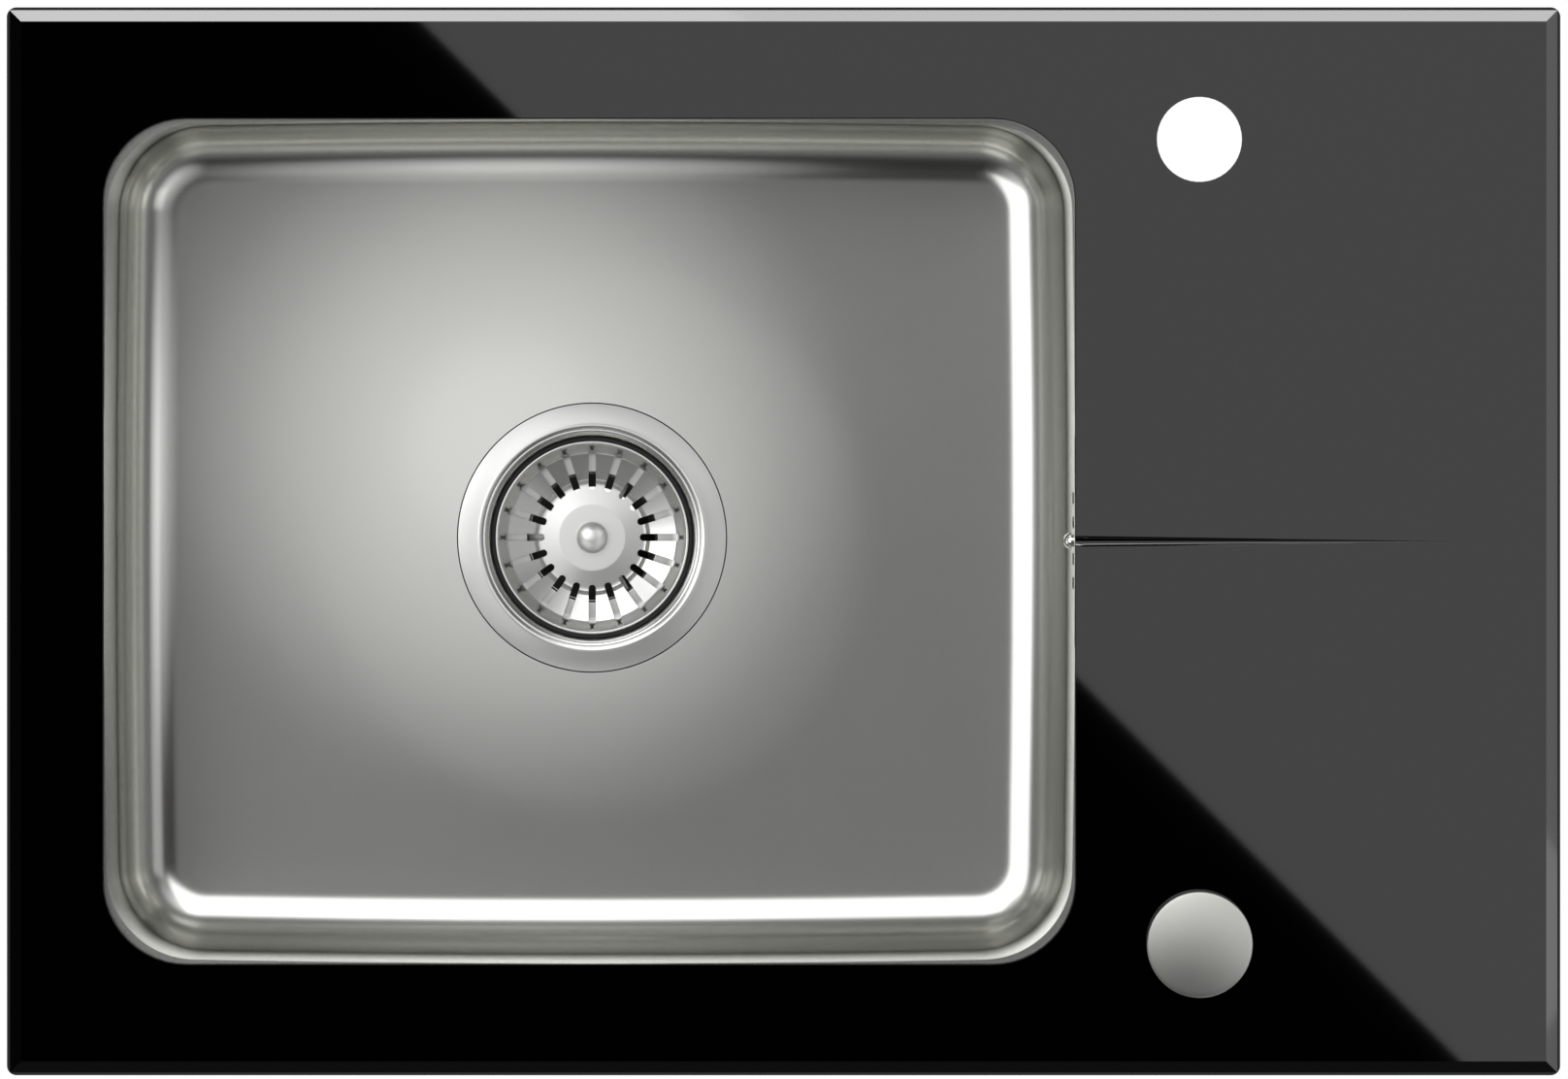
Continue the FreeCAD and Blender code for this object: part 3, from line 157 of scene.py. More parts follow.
class WasteSizes(bpy.types.PropertyGroup):
    """Sizes of the waste cup"""

    flange: length("Flange", "Radius of the raised ring", 55.7)
    edge: length("Edge", "Height of the ring's edge", 1.0)
    crest: length("Crest", "Radius of the ring's highest line", 47.2)
    rise: length("Rise", "Height of that line over the floor", 1.4)
    gasket: length("Gasket", "Thickness of the gasket under the ring", 1.0)
    squeeze: length("Squeeze", "Air left round the gasket's lip", 0.02)
    cup: length("Cup", "Inside radius of the cup", 42.6)
    sheet: length("Sheet", "Thickness of the cup", 1.2)
    step: length("Step", "Depth of the step that the basket's rim sits over", 7.8)
    depth: length("Depth", "Depth of the cup's floor", 26.0)
    corner: length("Corner", "Radius between the cup's wall and floor", 6.0)
    outlet: length("Outlet", "Radius of the cup's outlet", 26.4)
    collar: length("Collar", "Length of the outlet's collar", 15.0)
    hub: length("Hub", "Radius of the hub that the bolt goes through", 9.0)
    bolt: length("Bolt hole", "Radius of the hole in the hub", 5.3)
    arm: length("Arm", "Width of the hub's arms", 5.0)
    arm_thick: length("Arm thickness", "Thickness of the hub and its arms", 3.0)


class BasketSizes(bpy.types.PropertyGroup):
    """Sizes of the strainer basket, its ball and its seal"""

    radius: length("Radius", "Radius of the basket", 40.2)
    sheet: length("Sheet", "Thickness of the sheet", 1.0)
    below: length("Below", "Depth of the lip under the floor", 3.0)
    skirt: length("Skirt", "Height of the folded rim", 4.5)
    wall: length("Wall", "Height of the steep wall", 6.0)
    cone_out: length("Cone outside", "Radius at which the cone meets the wall", 35.2)
    cone_in: length("Cone inside", "Radius at which the cone meets the channel", 24.0)
    cone_rise: length("Cone rise", "Rise of the cone", 3.8)
    channel: length("Channel", "Radius of the channel round the middle", 22.4)
    channel_rise: length("Channel rise", "Depth of that channel", 1.6)
    dome_base: length("Dome base", "Radius of the raised middle", 21.2)
    dome_top: length("Dome top", "Radius of the flat on the raised middle", 13.9)
    dome_rise: length("Dome rise", "Rise of the raised middle", 1.4)
    slot: length("Slot", "Width of the slots", 3.0)
    slot_in: length("Slot start", "Radius at which the slots start", 19.8)
    slot_out: length("Slot end", "Radius at which the slots end", 36.8)
    slots: IntProperty(name="Slots", description="How many slots the basket has", default=20, min=3)
    ball: length("Ball", "Radius of the ball that the basket is lifted by", 6.5)
    neck: length("Neck", "Radius of the ball's neck", 2.8)
    neck_rise: length("Neck rise", "Height of the ball's neck", 1.2)
    seal_gap: length("Seal gap", "Room between the seal and the cup", 0.3)


class KnobSizes(bpy.types.PropertyGroup):
    """Sizes of the control knob"""

    radius: length("Radius", "Radius of the knob", 21.8)
    dome: length("Dome", "Rise of the knob's top", 0.8)
    edge: length("Edge", "Radius of the knob's edge", 0.5)
    wall: length("Wall", "Thickness of the knob's skirt and roof", 2.0)
    socket: length("Socket", "Radius of the socket that takes the spindle", 6.0)
    socket_wall: length("Socket wall", "Thickness of that socket", 4.0)
    socket_depth: length("Socket depth", "Depth of that socket", 16.0)


class ScrewSizes(bpy.types.PropertyGroup):
    """Sizes of the overflow screw and the clip screws"""

    head: length("Head", "Radius of the overflow screw's head", 3.45)
    head_rise: length("Head rise", "Height of that head", 3.3)
    shank: length("Shank", "Radius of that screw's shank", 2.5)
    driver: length("Driver", "Width of the driver's slots", 1.5)
    clip_radius: length("Clip head", "Radius of a clip screw's head", 5.0)
    clip_head: length("Clip head height", "Height of that head", 3.5)
    clip_shank: length("Clip shank", "Radius of a clip screw's shank", 2.5)
    clip_pitch: length("Clip pitch", "Pitch of a clip screw's thread", 1.0)
    clip_collar: length("Clip collar", "Radius of the collar that keeps the claw", 4.2)
    clip_ring: length("Collar thickness", "Thickness of that collar", 1.5)
    clip_collar_drop: length("Collar drop", "From a clip screw's end to its collar", 28.8)
    clips: IntProperty(name="Clips", description="How many clips there are", default=6, min=1)


class SinkColours(bpy.types.PropertyGroup):
    """Colours of the finishes"""

    glass: colour("Glass", "Back-painted glass", (0.0004, 0.0004, 0.0004))
    bowl: colour("Bowl", "Satin steel", (0.68, 0.682, 0.652))
    polished: colour("Polished", "Polished steel", (0.70, 0.70, 0.685))
    knob: colour("Knob", "Brushed steel", (0.38, 0.38, 0.36))
    # Dark colour for the overflow slots' cut edges: painted shade, standing in for the shadow inside the
    # slots.
    sheared: colour("Sheared", "Dark sheared edges of the overflow slots", (0.02, 0.02, 0.02))
    zinc: colour("Zinc", "Zinc-plated steel", (0.56, 0.57, 0.58))
    rubber: colour("Rubber", "Black rubber", (0.012, 0.012, 0.012))
    white: colour("White plastic", "Moulded waste parts", (0.74, 0.74, 0.72))
    grey: colour("Grey plastic", "Moulded drive parts", (0.19, 0.195, 0.20))
    foam: colour("Foam", "Sealing tape", (0.05, 0.05, 0.052))
    pad: colour("Pad", "Damping pad", (0.10, 0.10, 0.105))
    silicone: colour("Silicone", "Bonding bead", (0.03, 0.03, 0.03))


# Modelling by hand


def clear_table():
    """Leave edit mode with nothing selected."""
    if bpy.context.object and bpy.context.object.mode != "OBJECT":
        bpy.ops.object.mode_set(mode="OBJECT")
    bpy.ops.object.select_all(action="DESELECT")


def choose(piece):
    """Leave one piece selected and active."""
    clear_table()
    piece.select_set(True)
    bpy.context.view_layer.objects.active = piece


def open_piece(name):
    """Name the primitive that was just added, put its place in its mesh and open it for editing."""
    piece = bpy.context.object
    piece.name = name
    piece.data.name = name
    bpy.ops.object.transform_apply(location=True, rotation=True, scale=True)
    bpy.ops.object.mode_set(mode="EDIT")
    bpy.ops.mesh.select_all(action="DESELECT")
    return piece


def block(name, spot, size, turn=0.0):
    """Block at its size and place, open for editing."""
    clear_table()
    bpy.ops.mesh.primitive_cube_add(size=1, location=spot, rotation=(0, 0, turn), scale=size)
    return open_piece(name)


def eased_block(name, spot, size, edge, turn=0.0):
    """Block with all its edges eased."""
    piece = block(name, spot, size, turn)
    bpy.ops.mesh.select_all(action="SELECT")
    bpy.ops.mesh.bevel(offset=edge, segments=2, affect="EDGES")
    bpy.ops.object.mode_set(mode="OBJECT")
    return piece


def centre(node):
    """Middle of a node's box."""
    low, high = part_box(node)
    return (low + high) / 2


def around(x, reach, degrees, z):
    """Point at a distance and an angle from an upright axis at x."""
    a = math.radians(degrees)
    return (x + reach * math.cos(a), reach * math.sin(a), z)


def span(edge, axis):
    """How far an edge reaches along an axis."""
    return abs(edge.verts[0].co[axis] - edge.verts[1].co[axis])


def is_open(edge):
    """True on an edge that has no second face."""
    return len(edge.link_faces) < 2


def middle(part):
    """Middle of a vertex, an edge or a face."""
    if isinstance(part, bmesh.types.BMVert):
        return part.co
    return sum((v.co for v in part.verts), Vector()) / len(part.verts)


def pick(piece, kind, test):
    """Select the vertices, edges or faces that pass a test of the part and its middle."""
    bpy.ops.mesh.select_mode(type=kind)
    bpy.ops.mesh.select_all(action="DESELECT")
    mesh = bmesh.from_edit_mesh(piece.data)
    for part in {"VERT": mesh.verts, "EDGE": mesh.edges, "FACE": mesh.faces}[kind]:
        if test(part, middle(part)):
            part.select_set(True)
    bmesh.update_edit_mesh(piece.data)


def seal(piece):
    """Merge doubles and turn the faces outwards."""
    bpy.ops.mesh.select_all(action="SELECT")
    bpy.ops.mesh.remove_doubles(threshold=MERGE)
    bpy.ops.mesh.normals_make_consistent(inside=False)
    bpy.ops.object.mode_set(mode="OBJECT")
    return piece


def round_edges(cutter, axis, radius):
    """Round the long edges of a cutter that run along an axis."""
    pick(cutter, "EDGE", lambda e, m: span(e, axis) > 5 * MM)
    bpy.ops.mesh.bevel(offset=radius, segments=8, affect="EDGES")
    bpy.ops.object.mode_set(mode="OBJECT")


def eased(points, setback, steps, closed=True):
    """Profile with its corners rounded off, over less than half of each run."""
    most = 0.45
    made = []
    count = len(points)
    for i, (r, z) in enumerate(points):
        if not closed and i in (0, count - 1):
            made.append((r, z))
            continue
        spot = Vector((r, z))
        before = Vector(points[i - 1]) - spot
        after = Vector(points[(i + 1) % count]) - spot
        start = spot + before.normalized() * min(setback, before.length * most)
        end = spot + after.normalized() * min(setback, after.length * most)
        for k in range(steps + 1):
            t = k / steps
            made.append(tuple(start * (1 - t) ** 2 + spot * 2 * t * (1 - t) + end * t**2))
    return made


def bow(start, through, end, steps):
    """Points after the start on a curve through a middle point to an end."""
    made = []
    for k in range(1, steps + 1):
        t = k / steps
        weights = ((1 - t) * (1 - 2 * t), 4 * t * (1 - t), t * (2 * t - 1))
        made.append(tuple(sum(w * p[i] for w, p in zip(weights, (start, through, end))) for i in (0, 1)))
    return made


def arc(spot, radius, start, end, steps):
    """Points on an arc between two angles in degrees."""
    turns = [math.radians(start + (end - start) * k / steps) for k in range(steps + 1)]
    return [(max(spot[0] + radius * math.cos(t), 0.0), spot[1] + radius * math.sin(t)) for t in turns]


def beside(points, sheet):
    """Line beside a section's line, at a sheet's thickness under it or outside it."""
    sides = []
    for start, end in zip(points, points[1:]):
        way = (Vector(end) - Vector(start)).normalized()
        sides.append(Vector((way.y, -way.x)))
    made = []
    for spot, before, after in zip(points, sides[:1] + sides, sides + sides[-1:]):
        made.append(tuple(Vector(spot) + (before + after) * sheet / (1 + before.dot(after))))
    return made


def draw_ring(profile, x, y):
    """Extrude the selected ring from point to point of a (radius, height) profile."""
    r, z = profile[0]
    for r_next, z_next in profile[1:]:
        bpy.ops.mesh.extrude_edges_move(TRANSFORM_OT_translate={"value": (0, 0, z_next - z)})
        if r_next < MERGE:
            bpy.ops.mesh.merge(type="CENTER")
            return
        size = r_next / r
        bpy.ops.transform.resize(value=(size, size, 1), center_override=(x, y, z_next))
        r, z = r_next, z_next


def turned(name, profile, x, y=0.0, sides=FINE_RING, closed=True):
    """Piece turned from a (radius, height) profile, as a closed ring or with its ends on the axis."""
    clear_table()
    r, z = profile[0]
    fill = "NOTHING" if closed else "TRIFAN"
    bpy.ops.mesh.primitive_circle_add(vertices=sides, radius=r, fill_type=fill, location=(x, y, z))
    piece = open_piece(name)
    bpy.ops.mesh.select_mode(type="EDGE")
    if closed:
        bpy.ops.mesh.select_all(action="SELECT")
        profile = profile + profile[:1]
    else:
        bpy.ops.mesh.select_non_manifold()
    draw_ring(profile, x, y)
    return seal(piece)


def apply_all(piece):
    """Apply the piece's modifiers in order."""
    choose(piece)
    for modifier in list(piece.modifiers):
        bpy.ops.object.modifier_apply(modifier=modifier.name)


def join(name, pieces):
    """Join pieces into one object."""
    clear_table()
    for piece in pieces:
        piece.select_set(True)
    bpy.context.view_layer.objects.active = pieces[0]
    bpy.ops.object.join()
    pieces[0].name = name
    return pieces[0]


def cut_away(piece, cutter):
    """Cut one piece out of another and delete the cutter."""
    cut = piece.modifiers.new("Cut", "BOOLEAN")
    cut.operation = "DIFFERENCE"
    cut.solver = "EXACT"
    cut.object = cutter
    apply_all(piece)
    bpy.data.objects.remove(cutter)


def dress(piece, finish):
    """Give a piece one finish."""
    piece.data.materials.clear()
    piece.data.materials.append(finish)


def fit(piece, body, slot, *nodes, finish=None, angle=40):
    """Shade a piece smooth up to an angle, dress it, and let it ride and stand for its nodes."""
    choose(piece)
    bpy.ops.object.shade_smooth_by_angle(angle=math.radians(angle))
    dress(piece, FINISHES[finish or slot])
    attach(piece, body)
    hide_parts(*nodes)


# Finishes


class Wire:
    """A socket of a finish. Sums on it add Math nodes."""

    def __init__(self, finish, socket):
        self.finish = finish
        self.socket = socket

    def sum(self, operation, *values):
        return self.finish.node("ShaderNodeMath", {"operation": operation}, dict(enumerate(values)))

    def __add__(self, other):
        return self.sum("ADD", self, other)

    def __sub__(self, other):
        return self.sum("SUBTRACT", self, other)

    def __rsub__(self, other):
        return self.sum("SUBTRACT", other, self)

    def __mul__(self, other):
        return self.sum("MULTIPLY", self, other)

    __radd__ = __add__
    __rmul__ = __mul__


class Finish:
    """A material under construction."""

    def __init__(self, name, tree=None):
        if tree is None:
            self.material = bpy.data.materials.new(name)
            self.material.use_nodes = True
            tree = self.material.node_tree
        self.tree = tree
        self.tree.nodes.clear()

    def node(self, kind, settings=None, sockets=None, out=0):
        """Add a node: its settings first, then values or links by the socket's place or name."""
        made = self.tree.nodes.new(kind)
        for key, value in (settings or {}).items():
            if key == "stops":
                self.set_stops(made.color_ramp, value)
            else:
                setattr(made, key, value)
        for key, value in (sockets or {}).items():
            if isinstance(value, Wire):
                self.tree.links.new(value.socket, made.inputs[key])
            else:
                made.inputs[key].default_value = value
        return Wire(self, made.outputs[out])

    @staticmethod
    def set_stops(ramp, stops):
        """Set the stops of a ramp, each a place and a grey."""
        while len(ramp.elements) < len(stops):
            ramp.elements.new(1.0)
        for element, (place, grey) in zip(ramp.elements, stops):
            element.position = place
            element.color = (grey, grey, grey, 1.0)

    def place(self, stretch=(1, 1, 1)):
        """Object coordinates, drawn out in a direction if wanted."""
        spot = self.node("ShaderNodeTexCoord", out="Object")
        return self.node("ShaderNodeMapping", {"vector_type": "POINT"}, {"Vector": spot, "Scale": stretch})

    def noise(self, spot, scale, detail, roughness=0.5):
        """Noise from 0 to 1."""
        sockets = {"Vector": spot, "Scale": scale, "Detail": detail, "Roughness": roughness}
        return self.node("ShaderNodeTexNoise", None, sockets)

    def cells(self, spot, scale, feature):
        """Distance in a pattern of cells."""
        return self.node("ShaderNodeTexVoronoi", {"feature": feature}, {"Vector": spot, "Scale": scale})

    def blend(self, amount, first, second):
        """Mix of two colours."""
        return self.node("ShaderNodeMix", {"data_type": "RGBA"}, {0: amount, 6: first, 7: second}, 2)

    def bump(self, height, strength, distance):
        """Normal of a surface with a height."""
        sockets = {"Height": height, "Strength": strength, "Distance": distance}
        return self.node("ShaderNodeBump", None, sockets)

    def surface(self, sockets):
        """Principled surface, led to the output."""
        self.end(self.node("ShaderNodeBsdfPrincipled", None, sockets))
        return self.material

    def end(self, shader, kind="ShaderNodeOutputMaterial"):
        """Lead a shader to the output."""
        last = self.tree.nodes.new(kind)
        self.tree.links.new(shader.socket, last.inputs["Surface"])


def shade(value, factor):
    """A colour made lighter or darker, with full alpha."""
    return (*(min(1.0, c * factor) for c in value), 1.0)


def glass_finish(value):
    """Polished black glass with the faintest haze."""
    f = Finish("deck_glass")
    haze = f.noise(f.place(), 9.0, 3.0)
    grain = f.noise(f.place(), 240.0, 2.0)
    tint = f.blend(grain, shade(value, 0.7), shade(value, 1.3))
    return f.surface({"Base Color": tint, "Roughness": haze * 0.008 + 0.026, "IOR": 1.5})


def steel_finish(name, value, rough, scale, depth, drift, stretch=(1, 1, 1)):
    """Stainless steel: drifting tint, uneven satin and a fine grain that can be drawn out in a direction."""
    f = Finish(name)
    cloud = f.noise(f.place(), 11.0, 4.0)
    grain = f.noise(f.place(stretch), scale, 3.0, 0.6)
    tint = f.blend(cloud * 0.6 + grain * 0.4, shade(value, 0.96), shade(value, 1.04))
    satin = cloud * drift + grain * drift + (rough - drift)
    normal = f.bump(grain, 0.25, depth)
    return f.surface({"Base Color": tint, "Roughness": satin, "Metallic": 1.0, "Normal": normal})


def rubber_finish(name, value, pores):
    """Dull rubber or foam with pores."""
    f = Finish(name)
    pore = f.noise(f.place(), pores, 3.0, 0.65)
    cloud = f.noise(f.place(), 30.0, 2.0)
    tint = f.blend(pore, shade(value, 0.75), shade(value, 1.35))
    normal = f.bump(pore, 0.5, 0.0003)
    return f.surface({"Base Color": tint, "Roughness": cloud * 0.15 + 0.55, "Normal": normal})


def plastic_finish(name, value, gloss):
    """Moulded plastic: fine spark-eroded texture, flow marks and a little uneven gloss."""
    f = Finish(name)
    texture = f.noise(f.place(), 1400.0, 2.0, 0.6)
    flow = f.noise(f.place((1, 1, 0.35)), 22.0, 4.0)
    tint = f.blend(flow, shade(value, 0.94), shade(value, 1.05))
    normal = f.bump(texture, 0.3, 0.00012)
    satin = texture * 0.08 + flow * 0.06 + gloss
    return f.surface({"Base Color": tint, "Roughness": satin, "Normal": normal})


def pad_finish(value):
    """Damping pad with a pressed waffle."""
    f = Finish("pad_rubber")
    cells = f.cells(f.place(), 140.0, "DISTANCE_TO_EDGE")
    pore = f.noise(f.place(), 700.0, 3.0)
    tint = f.blend(pore, shade(value, 0.8), shade(value, 1.25))
    normal = f.bump(cells * 0.6 + pore * 0.1, 0.5, 0.0009)
    return f.surface({"Base Color": tint, "Roughness": pore * 0.15 + 0.6, "Normal": normal})


def zinc_finish(value):
    """Zinc plate with its blotchy spangle."""
    f = Finish("zinc_steel")
    spangle = f.cells(f.place(), 420.0, "F1")
    cloud = f.noise(f.place(), 60.0, 4.0)
    tint = f.blend(cloud, shade(value, 0.85), shade(value, 1.1))
    normal = f.bump(spangle, 0.12, 0.0002)
    satin = spangle * 0.12 + cloud * 0.1 + 0.24
    return f.surface({"Base Color": tint, "Roughness": satin, "Metallic": 1.0, "Normal": normal})


# Each steel's colour and look: roughness, its drift, and the grain's scale, depth and stretch
STEELS = {
    "bowl_steel": ("bowl", {"rough": 0.203, "drift": 0.006, "scale": 1600.0, "depth": 1.0 * MICRON}),
    "polished_steel": ("polished", {"rough": 0.27, "drift": 0.008, "scale": 1200.0, "depth": 0.4 * MICRON}),
    "ball_steel": ("polished", {"rough": 0.42, "drift": 0.008, "scale": 1200.0, "depth": 0.4 * MICRON}),
    "knob_steel": (
        "knob",
        {"rough": 0.30, "drift": 0.04, "scale": 500.0, "depth": 30 * MICRON, "stretch": (1, 0.08, 1)},
    ),
    "screw_steel": ("bowl", {"rough": 0.14, "drift": 0.01, "scale": 900.0, "depth": 1.0 * MICRON}),
    # Dark steel for the overflow slots' cut edges: painted shade for the shadow inside the slots.
    "sheared_steel": ("sheared", {"rough": 0.5, "drift": 0.05, "scale": 700.0, "depth": 10 * MICRON}),
}

# Colours of the rubbers with the scale of their pores, and of the plastics with their gloss
RUBBERS = {
    "black_rubber": ("rubber", 900.0),
    "seal_foam": ("foam", 450.0),
    "bond_silicone": ("silicone", 200.0),
}
PLASTICS = {"white_plastic": ("white", 0.30), "grey_plastic": ("grey", 0.36)}
FINISHES = {}


class SINK_OT_finishes(bpy.types.Operator):
    """Make every finish and dress the frame's nodes by their slots"""

    bl_idname = "sink.finishes"
    bl_label = "Finishes"

    def execute(self, context):
        c = context.scene.sink_colours
        FINISHES["deck_glass"] = glass_finish(c.glass)
        FINISHES["zinc_steel"] = zinc_finish(c.zinc)
        FINISHES["pad_rubber"] = pad_finish(c.pad)
        for name, (value, look) in STEELS.items():
            FINISHES[name] = steel_finish(name, getattr(c, value), **look)
        for name, (value, pores) in RUBBERS.items():
            FINISHES[name] = rubber_finish(name, getattr(c, value), pores)
        for name, (value, gloss) in PLASTICS.items():
            FINISHES[name] = plastic_finish(name, getattr(c, value), gloss)
        for row in frame["record"]["subparts"]:
            dress(NODES[row["node"]], FINISHES[row["material_slot"]])
        return {"FINISHED"}


# Pressed bowl


def crown_wall(piece, spot, push, reach):
    """Swell one wall out from its middle line to nothing at its corners."""
    near = 4 * MM
    pick(piece, "VERT", lambda v, m: (m.xy - Vector(spot)).length < near)
    bpy.ops.transform.translate(
        value=(*push, 0),
        use_proportional_edit=True,
        proportional_edit_falloff="INVERSE_SQUARE",
        proportional_size=reach,
    )


def bowl_walls(b):
    """Tapered box with crowned walls."""
    low = b.rim - b.depth
    size = (b.mouth_length - 2 * b.end_crown, b.mouth_width - 2 * b.side_crown, b.depth)
    piece = block("bowl_pressing", (AXIS_X, 0, b.rim - b.depth / 2), size)
    pick(piece, "VERT", lambda v, m: m.z < low + MM)
    lean = [1 - 2 * t / s for t, s in zip((b.end_taper, b.side_taper), size)]
    bpy.ops.transform.resize(value=(*lean, 1), center_override=(AXIS_X, 0, low))
    pick(piece, "EDGE", lambda e, m: span(e, Z) < MM)
    bpy.ops.mesh.subdivide(number_cuts=7)
    for side in (-1, 1):
        end = (AXIS_X + side * (size[0] - b.end_taper) / 2, 0)
        crown_wall(piece, end, (side * b.end_crown, 0), size[1] / 2)
        flank = (AXIS_X, side * (size[1] - b.side_taper) / 2)
        crown_wall(piece, flank, (0, side * b.side_crown), size[0] / 2)
    return piece


def upright_corner(b):
    """Test for the bowl's four upright corner edges."""
    near = 3 * b.end_taper
    half = (b.mouth_length / 2 - b.end_crown - near, b.mouth_width / 2 - b.side_crown - near)

    def test(edge, m):
        tall = span(edge, Z) > b.depth / 2
        return tall and abs(m.x - AXIS_X) > half[0] and abs(m.y) > half[1]

    return test


def round_corners(piece, b):
    """Round the upright corners and the edge of the floor, and take out the top and the floor."""
    low = b.rim - b.depth
    strip_corners = 20

    def lid(face, m):
        flat = abs(face.normal.z) > 0.9999
        return flat and (m.z > b.rim - MM or len(face.verts) > strip_corners)

    pick(piece, "EDGE", upright_corner(b))
    bpy.ops.mesh.bevel(offset=b.corner, segments=ROUND_STEPS, affect="EDGES")
    pick(piece, "FACE", lambda f, m: abs(f.normal.z) > 0.9)
    bpy.ops.mesh.dissolve_faces()
    pick(piece, "EDGE", lambda e, m: abs(m.z - low) < LEVEL)
    bpy.ops.mesh.bevel(offset=b.cove, segments=ROUND_STEPS, affect="EDGES")
    pick(piece, "FACE", lid)
    bpy.ops.mesh.delete(type="FACE")


def bowl_floor(piece, b):
    """Floor with its dish, the recess for the waste and the drain hole."""
    low = b.rim - b.depth
    axis = Vector((AXIS_X, 0))
    bpy.ops.mesh.select_all(action="DESELECT")
    bpy.ops.mesh.primitive_circle_add(vertices=FINE_RING, radius=b.dish, location=(AXIS_X, 0, low))
    pick(piece, "EDGE", lambda e, m: abs(m.z - low) < LEVEL and is_open(e))
    bpy.ops.mesh.bridge_edge_loops()
    pick(piece, "EDGE", lambda e, m: is_open(e) and (m.xy - axis).length < b.dish + MM)
    fall = [(b.dish, low)]
    steps = 16
    ease = 0.2
    straight = 1 - ease / 2
    for k in range(1, steps + 1):
        t = k / steps
        part = t**2 / (2 * ease * straight) if t < ease else (t - ease / 2) / straight
        fall.append((b.dish - t * (b.dish - b.recess), low - b.drop * part))
    bottom = low - b.drop - b.recess_depth
    draw_ring(fall + [(b.recess, bottom), (b.drain, bottom)], AXIS_X, 0)


def bowl_rim(piece, b):
    """Turned lip and the flange that the glass sits on."""
    pick(piece, "EDGE", lambda e, m: is_open(e) and m.z > b.rim - MM)
    bpy.ops.transform.translate(value=(0, 0, -b.lip))
    sizes = [b.mouth_length, b.mouth_width]
    z = b.rim - b.lip
    out = 0.0
    turns = [math.radians(90 * k / LIP_STEPS) for k in range(1, LIP_STEPS + 1)]
    steps = [(b.lip * (1 - math.cos(a)), b.rim - b.lip + b.lip * math.sin(a)) for a in turns]
    for reach, height in steps + [(b.flange, b.rim)]:
        bpy.ops.mesh.extrude_edges_move(TRANSFORM_OT_translate={"value": (0, 0, height - z)})
        grow = [(s + 2 * reach) / (s + 2 * out) for s in sizes]
        bpy.ops.transform.resize(value=(*grow, 1), center_override=(AXIS_X, 0, height))
        z = height
        out = reach


def press_sheet(piece, b):
    """Turn the faces into the bowl and give the sheet its thickness behind them."""
    seal(piece)
    bpy.ops.object.mode_set(mode="EDIT")
    if max(piece.data.polygons, key=lambda f: f.area).normal.z < 0:
        bpy.ops.mesh.select_all(action="SELECT")
        bpy.ops.mesh.flip_normals()
    bpy.ops.object.mode_set(mode="OBJECT")
    wall = piece.modifiers.new("Sheet", "SOLIDIFY")
    wall.thickness = b.sheet
    wall.offset = -1.0
    wall.use_even_offset = True
    apply_all(piece)


def overflow_cutter(b):
    """Upright slots on both sides of the screw, sloping down and outward, as one cutter."""
    z = centre("overflow_screw").z
    x = AXIS_X + b.mouth_length / 2 - b.end_taper * (b.rim - z) / b.depth
    through = 20 * MM
    round_share = 0.498
    first = -b.slot_pitch * (b.slot_count - 1) / 2
    cutters = []
    for k in range(b.slot_count):
        y = first + b.slot_pitch * k
        y += math.copysign(b.slot_pitch / 4, y)
        slot = block("overflow_slot", (x, y, z), (through, b.slot_width, b.slot_height))
        for side in (1, -1):
            pick(slot, "VERT", lambda v, m: (m.x - x) * side > 0)
            bpy.ops.transform.translate(value=(0, 0, -side * b.slot_slope * through / 2))
        round_edges(slot, X, b.slot_width * round_share)
        cutters.append(slot)
    return join("overflow_slots", cutters)


def paint_slot_shade(piece, b):
    """Give the cut edges of the overflow slots a dark finish: painted shade, standing in for the shadow
    inside the slots.
    """
    z = centre("overflow_screw").z
    wall = AXIS_X + b.mouth_length / 2 - 2 * b.end_taper
    side = b.slot_pitch * (b.slot_count + 1) / 2

    def edge(face, m):
        near = m.x > wall and abs(m.y) < side and abs(m.z - z) < b.slot_height
        return near and abs(face.normal.x) < 0.9

    choose(piece)
    piece.data.materials.append(FINISHES["sheared_steel"])
    piece.active_material_index = 1
    bpy.ops.object.mode_set(mode="EDIT")
    pick(piece, "FACE", edge)
    bpy.ops.object.material_slot_assign()
    bpy.ops.object.mode_set(mode="OBJECT")


class SINK_OT_bowl(bpy.types.Operator):
    """Press the bowl: crowned walls, coved floor, dish, drain recess, rim and overflow slots"""

    bl_idname = "sink.bowl"
    bl_label = "Pressed bowl"

    def execute(self, context):
        b = context.scene.sink_bowl
        piece = bowl_walls(b)
        round_corners(piece, b)
        bowl_floor(piece, b)
        bowl_rim(piece, b)
        press_sheet(piece, b)
        cut_away(piece, overflow_cutter(b))
        fit(piece, "sink", "bowl_steel", "bowl", angle=30)
        # Painted shade: the cut edges of the overflow slots get the dark finish.
        paint_slot_shade(piece, b)
        return {"FINISHED"}


# Screws


def thread(radius, start, end, pitch):
    """Zigzag section of a thread between two heights."""
    root = radius - 0.6 * pitch
    count = round(abs(end - start) / pitch)
    step = (end - start) / count
    made = []
    for k in range(count):
        made += [(root, start + k * step), (radius, start + (k + 0.5) * step)]
    return made


def driver_bar(spot, size):
    """Bar with eased edges that cuts a driver's slot."""
    return eased_block("driver", spot, size, min(size) / 8)


